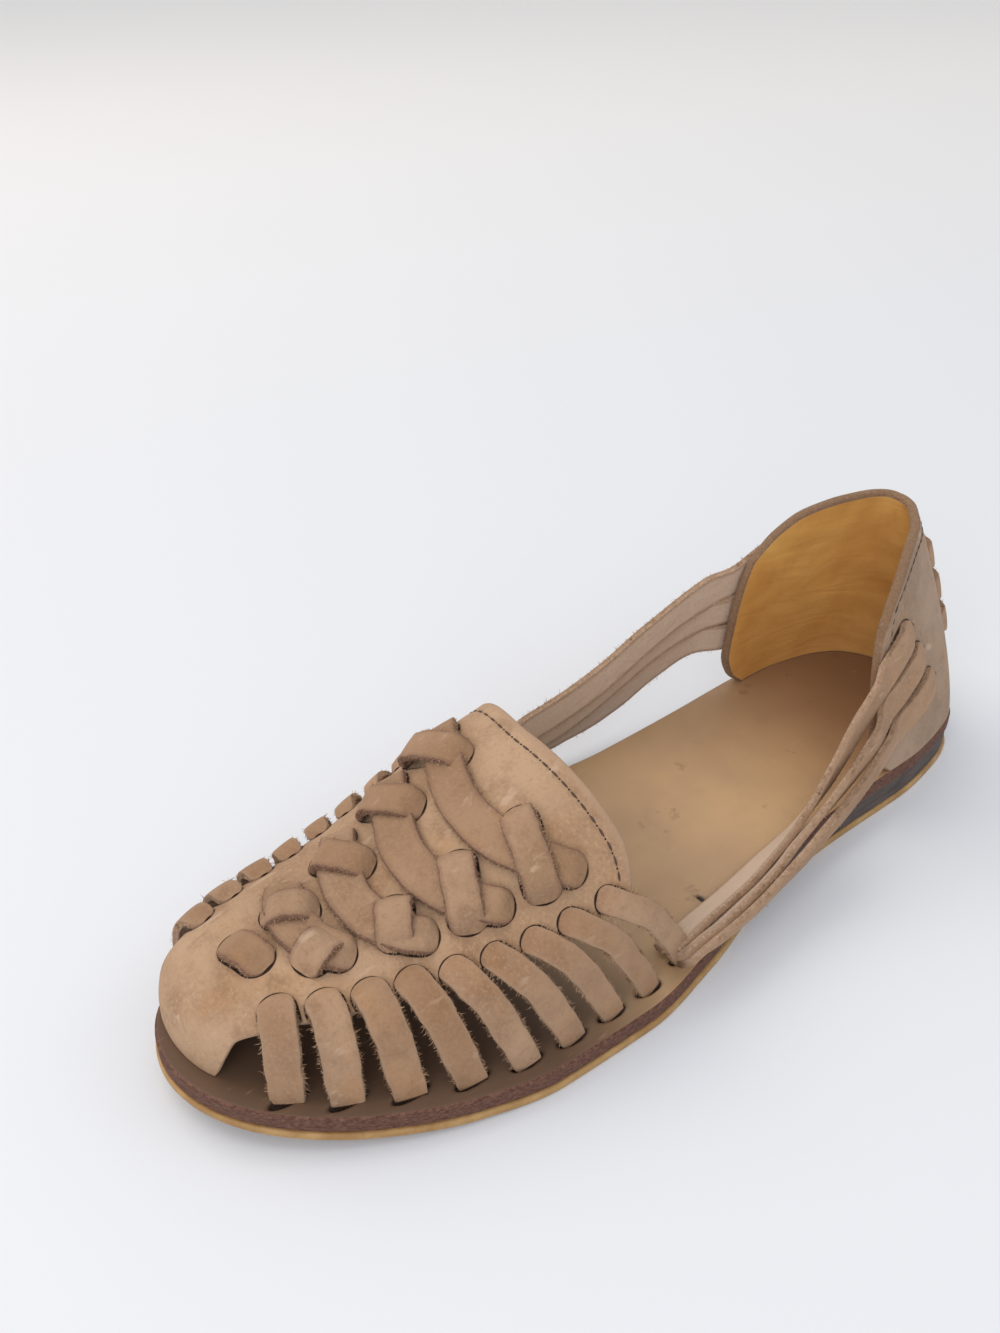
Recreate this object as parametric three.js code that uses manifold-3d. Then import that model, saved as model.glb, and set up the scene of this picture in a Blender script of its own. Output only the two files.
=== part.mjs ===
// Huarache sandal, left shoe: leather sole layers, a woven vamp, thong side loops, a tall slotted
// heel counter and its quarter straps. Millimetres, +Z up, toe towards -Y, lateral side towards +X.
import * as THREE from "three";
import { mergeVertices } from "three/addons/utils/BufferGeometryUtils.js";
import Module from "manifold-3d";

const wasm = await Module();
wasm.setup();

// Driving dimensions
const LENGTH = 258; // sole, heel to toe
const HALF_WIDTH = 46; // about half of the sole's width at the ball
const OUTSOLE = 2; // crepe sheet
const FOOTBED = 4.4; // leather board
const HEEL_LIFT = 6.5; // what the wedge raises the heel by
const TOE_SPRING = 5.5;
const GAP = 0.3; // clearance between two pieces that touch
const THONG = 2; // thickness of every strap
const LOOP_WIDTH = 8.6;
const BAND_WIDTH = 10.4;
const BAND_TAPER = 3; // how much narrower the band's ends are
const QUARTER_WIDTH = 8.6;
const VAMP_WALL = 2;
const COUNTER_WALL = 2.8;
const SLOT_DEPTH = 3.2; // of the thong slots in the footbed
const CENTRE_LINE = 1.75; // x of the middle of the whole width, moved to zero at the end

// Levels
const FOOTBED_UNDERSIDE = OUTSOLE + GAP;
const FOOTBED_TOP = FOOTBED_UNDERSIDE + FOOTBED;

// Outline of the sole. from_heel is the share of the length; medial and lateral are half widths.
const OUTLINE = [
  { from_heel: 0, medial: 0, lateral: 0 },
  { from_heel: 0.012, medial: -14.9, lateral: 15.6 },
  { from_heel: 0.04, medial: -23.6, lateral: 24.3 },
  { from_heel: 0.09, medial: -28.7, lateral: 28.6 },
  { from_heel: 0.16, medial: -30.9, lateral: 31.3 },
  { from_heel: 0.28, medial: -30.1, lateral: 32 },
  { from_heel: 0.4, medial: -31.3, lateral: 35.1 },
  { from_heel: 0.52, medial: -36.4, lateral: 43.9 },
  { from_heel: 0.62, medial: -41.8, lateral: 48.6 },
  { from_heel: 0.72, medial: -44.8, lateral: 48.2 },
  { from_heel: 0.8, medial: -41.7, lateral: 43.8 },
  { from_heel: 0.88, medial: -35.2, lateral: 34.9 },
  { from_heel: 0.94, medial: -29.5, lateral: 24.3 },
  { from_heel: 0.98, medial: -20.3, lateral: 12.6 },
  { from_heel: 1, medial: -4.8, lateral: -4.8 },
];
const SPRING_START = 0.7; // share of the length where the toe leaves the floor
const WEDGE_FRONT = 0.6; // where the heel's rise begins
const WEDGE_FULL = 0.2; // and is complete
const WEDGE_TIP = 0.535; // where the wedge itself ends, in a thin edge
const TIP_THICKNESS = 0.3;
const WEDGE_INSET = 1;
const FOOTBED_INSET = 0.6;

// Vamp: y of the throat on the crown, its swing towards the medial side, and the arch of each
// section. along runs from throat to toe; medial and lateral are the ends of its base line, crown
// is the x of its ridge and height is above the footbed.
const THROAT = -18; // where the arch table begins
const THROAT_EDGE = -24.6; // y of the throat's edge on the crown
const THROAT_SWING = 6; // how far it swings back on the medial side
const NOSE = -124.5;
const EDGE_REACH = 33; // degrees round the arch, from either base line, where the throat's edge ends
const CORNER_FROM = 128; // and where the lateral corner begins to round off, by CORNER_CUT
const CORNER_CUT = 5;
const ARCH = [
  { along: 0, medial: -38.5, lateral: 43.5, crown: -6, height: 48, fullness: 3 },
  { along: 0.17, medial: -38.5, lateral: 45, crown: -7, height: 43, fullness: 3 },
  { along: 0.32, medial: -38.5, lateral: 44.5, crown: -8, height: 35, fullness: 2.9 },
  { along: 0.47, medial: -38.5, lateral: 40.5, crown: -8.5, height: 28.5, fullness: 2.7 },
  { along: 0.62, medial: -37.5, lateral: 34, crown: -8.5, height: 24.5, fullness: 2.5 },
  { along: 0.76, medial: -34.5, lateral: 27.5, crown: -8.5, height: 22.5, fullness: 2.5 },
  { along: 0.87, medial: -30, lateral: 17.5, crown: -8.5, height: 20, fullness: 2.5 },
  { along: 0.94, medial: -26, lateral: 9.5, crown: -8.5, height: 16.5, fullness: 2.5 },
  { along: 0.98, medial: -20, lateral: 3, crown: -8.5, height: 11, fullness: 2.3 },
  { along: 1, medial: -8.5, lateral: -8.5, crown: -8.5, height: 0, fullness: 2.3 },
];
const LATERAL_FULLNESS = 2.2; // exponent of the lateral half arch; the medial one is in the table
// Lower edge of the vamp, as degrees round the arch from either base line.
const VAMP_EDGE = [
  { y: -121.5, medial: 0, lateral: 0 },
  { y: -119.5, medial: 14, lateral: 22 },
  { y: -116.5, medial: 34, lateral: 38 },
  { y: -112, medial: 40, lateral: 42 },
  { y: -104, medial: 42, lateral: 46 },
  { y: -88, medial: 41, lateral: 45.5 },
  { y: -69, medial: 38, lateral: 44.5 },
  { y: -51, medial: 35, lateral: 39.5 },
  { y: -30, medial: 32, lateral: 33 },
];

// Side loops, toe to heel: y of the slot in the vamp, its degrees round the arch from either base
// line, and y of the slot in the footbed.
const SIDE_LOOPS = [
  { top: -106.5, medial: 58, lateral: 61, base: -111.3, width: 8.4 },
  { top: -98, medial: 55, lateral: 58, base: -101, width: 8.4 },
  { top: -89, medial: 53, lateral: 56, base: -89, width: 8.4 },
  { top: -80.5, medial: 51, lateral: 54, base: -76, width: 8 },
  { top: -72, medial: 49, lateral: 51, base: -63, width: 7.4 },
  { top: -63.5, medial: 47, lateral: 48.5, base: -50.5, width: 7 },
  { top: -55, medial: 45, lateral: 46, base: -38.5, width: 6.7 },
  { top: -46.5, medial: 43, lateral: 43, base: -26.5, width: 6.4 },
  { top: -37, medial: 41, lateral: 40.5, base: -13, width: 6.5 },
];
const LOOP_INSET = { medial: 7, lateral: 5.5 }; // of the footbed slots from the sole's edge

// The four woven units on the crown, heel to toe, as x, y in plan: the band's two ends and its
// middle, then both ends of the crossing loop on either side.
const WEAVE = [
  { medial: [-28.7, -33.5], middle: [2, -48], lateral: [27.5, -36.7] },
  { medial: [-26.1, -51.1], middle: [1, -64.3], lateral: [22.8, -53.9] },
  { medial: [-22.2, -69.4], middle: [-0.5, -80], lateral: [16.8, -70.5] },
  { medial: [-17.3, -88], middle: [-3.5, -94], lateral: [9.2, -87.2] },
];
const WEAVE_LOOPS = [
  { medial: [[-11.7, -38.8], [-26.6, -43.1]], lateral: [[8.2, -40], [25.5, -46.3]] },
  { medial: [[-11.3, -53.3], [-23.6, -60.7]], lateral: [[5, -55.6], [19.4, -63.1]] },
  { medial: [[-7.5, -71.1], [-18.3, -78.3]], lateral: [[3.3, -71.9], [12.7, -78.5]] },
  { medial: [[-6.8, -87.1], [-12.5, -97.4]], lateral: [[2, -88], [5.4, -97]] },
];
const TOE_LOOP = [[-11.3, -107.5], [0.2, -104]];

// Heel counter: a wall that follows the sole's outline and leans in towards its rim.
const COUNTER_FRONT = 0.222; // share of the length
const COUNTER_INSET = 1.2;
const RIM_HEIGHT = 75;
const LEAN_GROWTH = 1.35; // the lean grows with the height to this power
// What the rim does at each share of the way round from the back to either front edge: its height,
// and how far it has moved forward, narrowed and moved sideways from the line of the base.
const RIM = [
  { round: 0, height: 1, forward: 10.5, narrower: 0.6, sideways: -7 },
  { round: 0.3, height: 1, forward: 9.3, narrower: 0.58, sideways: -6 },
  { round: 0.55, height: 0.99, forward: 6.6, narrower: 0.48, sideways: -4.2 },
  { round: 0.75, height: 0.955, forward: 3.8, narrower: 0.36, sideways: -3.3 },
  { round: 0.9, height: 0.89, forward: 1, narrower: 0.26, sideways: -2.5 },
  { round: 1, height: 0.79, forward: 0, narrower: 0.18, sideways: -2.2 },
];
// Front edge of the counter: how far it stands back of its foremost line, by share of the height.
const COUNTER_EDGE = [
  { up: 0, back: 9 },
  { up: 0.1, back: 4 },
  { up: 0.3, back: 0.5 },
  { up: 0.6, back: 1 },
  { up: 0.85, back: 2.5 },
  { up: 1, back: 5 },
];

// Quarter straps, from the anchor beside the vamp back to the counter: points of their centre
// lines. lean is how far the strap's top tips outward from upright, in degrees.
const QUARTER_LATERAL = [
  [
    { y: -7.5, z: 11.6, x: 37.4, lean: 56 },
    { y: 9, z: 12.2, x: 35.6, lean: 55 },
    { y: 25, z: 14, x: 33.4, lean: 47 },
    { y: 34, z: 16.4, x: 32.6, lean: 38 },
    { y: 44, z: 22.4, x: 32, lean: 27 },
    { y: 52, z: 30, x: 31.3, lean: 18 },
    { y: 60, z: 37.3, x: 30, lean: 10 },
    { y: 68.5, z: 43.8, x: 28.7, lean: 8 },
  ],
  [
    { y: -7, z: 12.2, x: 42.1, lean: 40 },
    { y: 8, z: 12.4, x: 40, lean: 40 },
    { y: 22, z: 14.2, x: 38.3, lean: 36 },
    { y: 30, z: 17, x: 37.2, lean: 33 },
    { y: 38, z: 20.3, x: 36.6, lean: 29 },
    { y: 46.5, z: 23.8, x: 35.8, lean: 22 },
    { y: 56, z: 27.6, x: 34.4, lean: 15 },
    { y: 66, z: 32.9, x: 32.8, lean: 10 },
  ],
  [
    { y: -6, z: 12.6, x: 45.8, lean: 22 },
    { y: 8, z: 12.8, x: 44, lean: 22 },
    { y: 22, z: 14.2, x: 41.9, lean: 19 },
    { y: 31, z: 16.2, x: 40.9, lean: 17 },
    { y: 39, z: 18.4, x: 39.8, lean: 15 },
    { y: 50, z: 20.6, x: 38, lean: 12 },
    { y: 62, z: 22.8, x: 35.3, lean: 10 },
    { y: 73, z: 26.7, x: 32.6, lean: 8 },
  ],
];
const QUARTER_MEDIAL = [
  [
    { y: -8, z: 22.4, x: -38.4, lean: 0 },
    { y: 4, z: 23.2, x: -39, lean: 0 },
    { y: 17, z: 25, x: -39.2, lean: 0 },
    { y: 31, z: 29.3, x: -38.6, lean: 0 },
    { y: 45, z: 37.2, x: -36.9, lean: 0 },
    { y: 57.5, z: 44.7, x: -34.6, lean: 2 },
    { y: 67, z: 49.4, x: -32.2, lean: 5 },
  ],
  [
    { y: -8, z: 15.4, x: -40.8, lean: 0 },
    { y: 4, z: 15.9, x: -41.4, lean: 0 },
    { y: 14, z: 17, x: -41.6, lean: 0 },
    { y: 27, z: 20.3, x: -41.3, lean: 0 },
    { y: 40, z: 26, x: -40.5, lean: 0 },
    { y: 53, z: 33, x: -38.7, lean: 2 },
    { y: 65, z: 38.6, x: -35.2, lean: 4 },
  ],
  [
    { y: -8, z: 12.4, x: -43.2, lean: 0 },
    { y: 4, z: 12.2, x: -43.8, lean: 0 },
    { y: 15, z: 12, x: -44, lean: 0 },
    { y: 27, z: 13, x: -43.7, lean: 0 },
    { y: 40, z: 16.4, x: -42.9, lean: 0 },
    { y: 53, z: 23, x: -41.1, lean: 2 },
    { y: 66, z: 29.6, x: -37.3, lean: 4 },
  ],
];
// Slots of the counter: y and z of each strap's last visible point.
const COUNTER_SLOTS = {
  lateral: [{ y: 88.3, z: 55.3 }, { y: 94.8, z: 46 }, { y: 101.6, z: 34.8 }],
  medial: [{ y: 95, z: 54 }, { y: 98, z: 43.5 }, { y: 100, z: 33 }],
};
// Thongs across the back: height, and how far either slot lies round the counter.
const BACK_THONGS = [
  { z: 59, from: -0.27, to: 0.27 },
  { z: 49.4, from: -0.29, to: 0.29 },
  { z: 39.8, from: -0.31, to: 0.31 },
];
const BACK_THONG_WIDTH = 8.4;

const UPPER_LEATHER = new THREE.MeshStandardMaterial({ color: 0xb8977a, roughness: 0.85, metalness: 0 });
const THONG_LEATHER = new THREE.MeshStandardMaterial({ color: 0xb4937a, roughness: 0.88, metalness: 0 });
const FOOTBED_LEATHER = new THREE.MeshStandardMaterial({ color: 0x97785a, roughness: 0.6, metalness: 0 });
const WEDGE_RUBBER = new THREE.MeshStandardMaterial({ color: 0x4e464a, roughness: 0.8, metalness: 0 });
const CREPE_RUBBER = new THREE.MeshStandardMaterial({ color: 0xb48e5c, roughness: 0.75, metalness: 0 });

// ---------------------------------------------------------------- small helpers

// Smooth monotone curve through the rows of a table: the value of one column where another has at.
function through(rows, key, column, at) {
  const x = rows.map((row) => row[key]);
  const y = rows.map((row) => row[column]);
  const last = rows.length - 1;
  if (at <= x[0]) return y[0];
  if (at >= x[last]) return y[last];
  const step = (i) => x[i + 1] - x[i];
  const rise = (i) => (y[i + 1] - y[i]) / step(i);
  const slope = (i) => {
    if (i === 0) return rise(0);
    if (i === last) return rise(last - 1);
    const [a, b] = [rise(i - 1), rise(i)];
    if (a * b <= 0) return 0;
    const [wa, wb] = [2 * step(i) + step(i - 1), step(i) + 2 * step(i - 1)];
    return (wa + wb) / (wa / a + wb / b);
  };
  const i = x.findIndex((value) => value > at) - 1;
  const h = step(i);
  const t = (at - x[i]) / h;
  const [t2, t3] = [t * t, t * t * t];
  return (
    (2 * t3 - 3 * t2 + 1) * y[i] +
    (t3 - 2 * t2 + t) * h * slope(i) +
    (3 * t2 - 2 * t3) * y[i + 1] +
    (t3 - t2) * h * slope(i + 1)
  );
}

const clamp = THREE.MathUtils.clamp;
const shareAt = (y) => clamp((LENGTH / 2 - y) / LENGTH, 0, 1); // 0 at the heel, 1 at the toe
const swing = (share) => Math.acos(1 - 2 * clamp(share, 0, 1)); // evens out the round ends
const SWUNG_OUTLINE = OUTLINE.map((row) => ({ ...row, swing: swing(row.from_heel) }));

// Point of the sole's outline on one side, drawn in by inset.
function outline(share, side, inset = 0) {
  const middle = OUTLINE.at(-1).lateral * share;
  const half = through(SWUNG_OUTLINE, "swing", side, swing(share)) - middle;
  return new THREE.Vector2(
    middle + half * (1 - inset / HALF_WIDTH),
    (LENGTH / 2 - inset) * (1 - 2 * share),
  );
}
// x of that outline at a given y.
const edgeAt = (y, side, inset = 0) =>
  outline((1 - y / (LENGTH / 2 - inset)) / 2, side, inset).x;

const spring = (y) => TOE_SPRING * clamp((shareAt(y) - SPRING_START) / (1 - SPRING_START), 0, 1) ** 2;
const rise = (y) => THREE.MathUtils.smoothstep(WEDGE_FRONT - shareAt(y), 0, WEDGE_FRONT - WEDGE_FULL);
const lift = (y) => HEEL_LIFT * rise(y);
const footbedTop = (y) => FOOTBED_TOP + spring(y) + lift(y);

// Closed body from points and faces given as point numbers. Faces that have closed up are dropped,
// and a body that came out inside out has its faces turned round.
function body(points, faces) {
  const raw = new THREE.BufferGeometry();
  const places = points.flatMap((p) => [p.x, p.y, p.z]);
  raw.setAttribute("position", new THREE.Float32BufferAttribute(places, 3));
  raw.setIndex(faces.flat());
  const merged = mergeVertices(raw, 1e-4);
  const index = merged.index.array;
  const kept = [];
  for (let i = 0; i < index.length; i += 3) {
    const [a, b, c] = [index[i], index[i + 1], index[i + 2]];
    if (a !== b && b !== c && c !== a) kept.push(a, b, c);
  }
  const solidOf = (triangles) => new wasm.Manifold(
    new wasm.Mesh({
      numProp: 3,
      vertProperties: merged.attributes.position.array,
      triVerts: new Uint32Array(triangles),
    }),
  );
  const solid = solidOf(kept);
  return solid.volume() > 0 ? solid : solidOf(kept.reverse());
}

// Closed body between two equal grids of points: outer faces out, inner faces in, rims all round.
function wallBetween(outer, inner) {
  const rows = outer.length;
  const columns = outer[0].length;
  const points = [...outer.flat(), ...inner.flat()];
  const at = (layer, i, j) => layer * rows * columns + i * columns + j;
  const faces = [];
  const quad = (a, b, c, d) => faces.push([a, b, c], [a, c, d]);
  for (let i = 0; i < rows - 1; i++) {
    for (let j = 0; j < columns - 1; j++) {
      quad(at(0, i, j), at(0, i + 1, j), at(0, i + 1, j + 1), at(0, i, j + 1));
      quad(at(1, i, j), at(1, i, j + 1), at(1, i + 1, j + 1), at(1, i + 1, j));
    }
  }
  for (let i = 0; i < rows - 1; i++) {
    quad(at(0, i, 0), at(1, i, 0), at(1, i + 1, 0), at(0, i + 1, 0));
    const e = columns - 1;
    quad(at(0, i, e), at(0, i + 1, e), at(1, i + 1, e), at(1, i, e));
  }
  for (let j = 0; j < columns - 1; j++) {
    quad(at(0, 0, j), at(0, 0, j + 1), at(1, 0, j + 1), at(1, 0, j));
    const e = rows - 1;
    quad(at(0, e, j), at(1, e, j), at(1, e, j + 1), at(0, e, j + 1));
  }
  return body(points, faces);
}

const range = (count) => Array.from({ length: count + 1 }, (_, i) => i / count);

// ---------------------------------------------------------------- sole

// Layer of the sole between two heights, over a stretch of its length.
function layer({ inset, under, over, from = 0, to = 1, stations = 43 }) {
  const ends = [swing(from), swing(to)];
  const lines = range(stations).map((t) => {
    const share = (1 - Math.cos(THREE.MathUtils.lerp(ends[0], ends[1], t))) / 2;
    const [a, b] = [outline(share, "medial", inset), outline(share, "lateral", inset)];
    return [a, b];
  });
  const at = (height) => lines.map(([a, b]) => [
    new THREE.Vector3(b.x, b.y, height(b.y)),
    new THREE.Vector3(a.x, a.y, height(a.y)),
  ]);
  return wallBetween(at(over), at(under));
}

const outsoleBody = layer({
  inset: 0,
  under: (y) => spring(y),
  over: (y) => OUTSOLE + spring(y),
});
const wedgeBody = layer({
  inset: WEDGE_INSET,
  under: () => FOOTBED_UNDERSIDE,
  over: (y) => FOOTBED_UNDERSIDE + Math.max(lift(y) - GAP, TIP_THICKNESS),
  to: WEDGE_TIP,
  stations: 26,
});
const footbedBody = layer({
  inset: FOOTBED_INSET,
  under: (y) => FOOTBED_UNDERSIDE + spring(y) + lift(y),
  over: footbedTop,
});

// ---------------------------------------------------------------- vamp

const SWUNG_ARCH = ARCH.map((row) => ({ ...row, swing: Math.asin(row.along) }));
const radians = THREE.MathUtils.degToRad;

// Section of the vamp at y: both ends of its base line, its crown and its height.
function section(y) {
  const swung = Math.asin(clamp((THROAT - y) / (THROAT - NOSE), 0, 1));
  const at = (column) => through(SWUNG_ARCH, "swing", column, swung);
  return {
    medial: at("medial"),
    lateral: at("lateral"),
    crown: at("crown"),
    height: at("height"),
    fullness: at("fullness"),
    base: footbedTop(y) + GAP,
  };
}

// Point of the vamp's outer face: angle runs from 0 at the medial base to 180 degrees at the lateral.
function vampPoint(y, angle) {
  const s = section(y);
  const a = radians(angle);
  const side = angle < 90 ? "medial" : "lateral";
  const power = 2 / (side === "medial" ? s.fullness : LATERAL_FULLNESS);
  return new THREE.Vector3(
    s.crown + (s[side] - s.crown) * Math.abs(Math.cos(a)) ** power,
    y,
    s.base + s.height * Math.max(Math.sin(a), 0) ** power,
  );
}

// Outward normal of the vamp there, from short steps along both directions.
function vampNormal(y, angle) {
  const d = 0.5;
  const low = clamp(angle, 4, 176);
  const far = Math.max(y, NOSE + 1.5);
  const along = vampPoint(far + d, low).sub(vampPoint(far - d, low));
  const round = vampPoint(far, low + 2).sub(vampPoint(far, low - 2));
  return round.cross(along).normalize();
}
const overVamp = (y, angle, out) => vampPoint(y, angle).addScaledVector(vampNormal(y, angle), out);

// Angle round the arch of the point at x, y in plan.
function angleAt(x, y) {
  const s = section(y);
  const side = x < s.crown ? "medial" : "lateral";
  const fullness = side === "medial" ? s.fullness : LATERAL_FULLNESS;
  const reach = clamp((x - s.crown) / (s[side] - s.crown), 0, 1) ** (fullness / 2);
  const round = THREE.MathUtils.radToDeg(Math.acos(reach));
  return side === "medial" ? round : 180 - round;
}

const edgeAngle = (y, side) => {
  const rise = through(VAMP_EDGE, "y", side, y);
  return side === "medial" ? rise : 180 - rise;
};

// Rear y of the vamp at an angle: the throat's edge swings back on the medial side, and the lateral
// corner below the throat is rounded off.
function vampRear(angle) {
  const swung = THROAT_SWING * Math.max(Math.cos(radians(angle)), 0);
  const corner = clamp((angle - CORNER_FROM) / (180 - EDGE_REACH - CORNER_FROM), 0, 1);
  return THROAT_EDGE + swung - CORNER_CUT * corner ** 2;
}

function vampBody() {
  const outer = [];
  const inner = [];
  for (const u of range(18)) {
    const rowOuter = [];
    const rowInner = [];
    for (const v of range(14)) {
      const rear = vampRear(THREE.MathUtils.lerp(EDGE_REACH, 180 - EDGE_REACH, v));
      const y = NOSE + (rear - NOSE) * (1 - Math.sin((u * Math.PI) / 2));
      const angle = THREE.MathUtils.lerp(edgeAngle(y, "medial"), edgeAngle(y, "lateral"), v);
      rowOuter.push(vampPoint(y, angle));
      rowInner.push(overVamp(y, angle, -VAMP_WALL));
    }
    outer.push(rowOuter);
    inner.push(rowInner);
  }
  for (const row of inner) {
    for (const p of row) p.z = Math.max(p.z, footbedTop(p.y) + GAP);
  }
  const nose = vampPoint(NOSE, 90);
  outer.at(-1).forEach((p) => p.copy(nose));
  inner.at(-1).forEach((p) => p.copy(nose).setY(NOSE + VAMP_WALL));
  return wallBetween(outer, inner);
}

// ---------------------------------------------------------------- thongs

// Strap of rectangular section along a path of stations { at, out }: out is the face's outward normal.
function strap(path, width, thickness) {
  const rows = { outer: [], inner: [] };
  path.forEach((station, i) => {
    const before = path[Math.max(i - 1, 0)].at;
    const after = path[Math.min(i + 1, path.length - 1)].at;
    const run = after.clone().sub(before).normalize();
    const out = station.out.clone().addScaledVector(run, -station.out.dot(run)).normalize();
    const across = run.clone().cross(out);
    const corner = (w, t) => station.at.clone()
      .addScaledVector(across, (w * (station.width ?? width)) / 2)
      .addScaledVector(out, (t * thickness) / 2);
    rows.outer.push([corner(-1, 1), corner(1, 1)]);
    rows.inner.push([corner(-1, -1), corner(1, -1)]);
  });
  return wallBetween(rows.outer, rows.inner);
}

const RIDE = THONG / 2 + GAP; // height of a strap's middle over the face that it lies on
const UNDER = -(VAMP_WALL + 0.2); // and of its end, just through the vamp
const DIVE = 1.4; // how far past its slot a strap runs
const RISE = 3; // length in which a strap climbs out of its slot on to the face
const CROSSING_SINK = 0.5; // how far a crossing loop presses into the band that it is joined to
const SHALLOW = 0.2; // how much higher a crossing loop stands beside its slot
const FOOT_ANGLE = 9; // degrees round the arch where the side loops turn down into the footbed
const FOOT_TURN = 1.5; // height over the footbed at which a side loop stands upright
const FOOT_DRAW = 0.4; // how far its end leans inward below that
const ARC_FACTOR = 1.5; // length of a quarter of the arch for each unit of its mean radius

// What cuts the slot for the stretch of a strap where it dives through a wall: the stretch grown by
// the clearance on every side. first and last are the stations of its ends.
function cutter(path, first, last, width) {
  const stretch = path.slice(first, last + 1);
  const end = (a, b) => ({ ...a, at: a.at.clone().sub(b.at).setLength(GAP + 0.2).add(a.at) });
  const longer = [end(stretch[0], stretch[1]), ...stretch.slice(1, -1), end(stretch.at(-1), stretch.at(-2))];
  const wider = longer.map((s) => ({ ...s, width: (s.width ?? width) + 2 * GAP }));
  return strap(wider, width, THONG + 2 * GAP);
}

// Side loop: from inside the vamp out through its slot, over the lower edge and into the footbed.
function sideLoopPath(loop, side) {
  const sign = side === "medial" ? -1 : 1;
  const round = (degrees) => (side === "medial" ? degrees : 180 - degrees);
  const [slot, foot] = [round(loop[side]), round(FOOT_ANGLE)];
  const s = section(loop.top);
  const quarterArc = (ARC_FACTOR * (s.height + Math.abs(s[side] - s.crown))) / 2;
  const long = Math.hypot((quarterArc * Math.abs(slot - foot)) / 90, loop.base - loop.top);
  const on = (t, out) => {
    const y = THREE.MathUtils.lerp(loop.top, loop.base, t);
    const angle = THREE.MathUtils.lerp(slot, foot, t);
    return { at: overVamp(y, angle, out), out: vampNormal(y, angle) };
  };
  const path = [
    on(-DIVE / long, UNDER),
    on(0, -VAMP_WALL / 2),
    on((RISE + SHALLOW) / long, RIDE + SHALLOW),
    on(0.4, RIDE),
    on(0.62, RIDE),
    on(0.84, RIDE),
  ];
  const footX = edgeAt(loop.base, side, LOOP_INSET[side]);
  const top = footbedTop(loop.base);
  const out = new THREE.Vector3(sign, 0, 0);
  path.push({ at: new THREE.Vector3(footX, loop.base, top + FOOT_TURN), out });
  const endX = footX - sign * FOOT_DRAW;
  path.push({ at: new THREE.Vector3(endX, loop.base, top + GAP - SLOT_DEPTH), out });
  return path;
}

// Station of a strap on the vamp at x, y in plan.
function onVamp([x, y], out, width) {
  const angle = angleAt(x, y);
  return { at: overVamp(y, angle, out), out: vampNormal(y, angle), width };
}

// Path over the vamp between two plan points: in through a slot at each end, rising to lift between.
function crossing(from, to, width, lifts) {
  const [a, b] = [new THREE.Vector2(...from), new THREE.Vector2(...to)];
  const long = a.distanceTo(b);
  const on = (distance, out) => {
    const p = a.clone().lerp(b, distance / long);
    return onVamp([p.x, p.y], out, width);
  };
  return [
    on(-DIVE, UNDER),
    on(0, -VAMP_WALL / 2),
    on(RISE, RIDE + SHALLOW),
    ...lifts.map(({ share, out }) => on(long * share, out)),
    on(long - RISE, RIDE + SHALLOW),
    on(long, -VAMP_WALL / 2),
    on(long + DIVE, UNDER),
  ];
}

// Woven unit: one band that dips towards the toe and dives in at both ends, and two crossing loops.
function wovenUnit(unit, loops) {
  const knots = [unit.medial, unit.middle, unit.lateral];
  const plan = new THREE.SplineCurve(knots.map((p) => new THREE.Vector2(...p)));
  const long = plan.getLength();
  const on = (distance, out) => {
    const t = clamp(distance / long, 0, 1);
    const beyond = distance - t * long;
    const p = plan.getPointAt(t).addScaledVector(plan.getTangentAt(t), beyond);
    const width = BAND_WIDTH - BAND_TAPER * (2 * t - 1) ** 2;
    return onVamp([p.x, p.y], out, width);
  };
  const middle = range(8).map((t) => on(THREE.MathUtils.lerp(RISE, long - RISE, t), RIDE));
  const band = [
    on(-DIVE, UNDER),
    on(0, -VAMP_WALL / 2),
    ...middle,
    on(long, -VAMP_WALL / 2),
    on(long + DIVE, UNDER),
  ];
  const over = RIDE + THONG - CROSSING_SINK;
  const lifts = [{ share: 0.36, out: over }, { share: 0.64, out: over }];
  return [band, ...[loops.medial, loops.lateral].map(([a, b]) => crossing(a, b, LOOP_WIDTH, lifts))];
}

// ---------------------------------------------------------------- heel counter

const SWUNG_FRONT = swing(COUNTER_FRONT);
const CHORD_ALLOWANCE = 0.15; // extra clearance where a flat strap spans the round wall
const TAIL = 4; // how far a strap runs on behind the wall

// Point of the counter's outer face: round is -1 at the medial front, 0 at the back, 1 at the
// lateral front; up is 0 at the footbed and 1 at the rim.
function counterPoint(round, up) {
  const side = round < 0 ? "medial" : "lateral";
  const r = Math.abs(round);
  const share = (1 - Math.cos(r * SWUNG_FRONT)) / 2;
  const base = outline(share, side, COUNTER_INSET);
  const lean = up ** LEAN_GROWTH;
  const narrower = through(RIM, "round", "narrower", r) * lean;
  const forward = through(RIM, "round", "forward", r) * lean;
  const sideways = through(RIM, "round", "sideways", r) * lean;
  const edge = through(COUNTER_EDGE, "up", "back", up) * r ** 5;
  const foot = footbedTop(base.y) + GAP;
  const rim = RIM_HEIGHT * through(RIM, "round", "height", r);
  return new THREE.Vector3(
    base.x * (1 - narrower) + sideways,
    base.y - forward + edge,
    THREE.MathUtils.lerp(foot, rim, up),
  );
}
function counterNormal(round, up) {
  const r = clamp(round, -0.97, 0.97);
  const u = clamp(up, 0.03, 0.97);
  const about = counterPoint(r + 0.02, u).sub(counterPoint(r - 0.02, u));
  const upward = counterPoint(r, u + 0.02).sub(counterPoint(r, u - 0.02));
  return upward.cross(about).normalize();
}
const overCounter = (round, up, out) =>
  counterPoint(round, up).addScaledVector(counterNormal(round, up), out);

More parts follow.
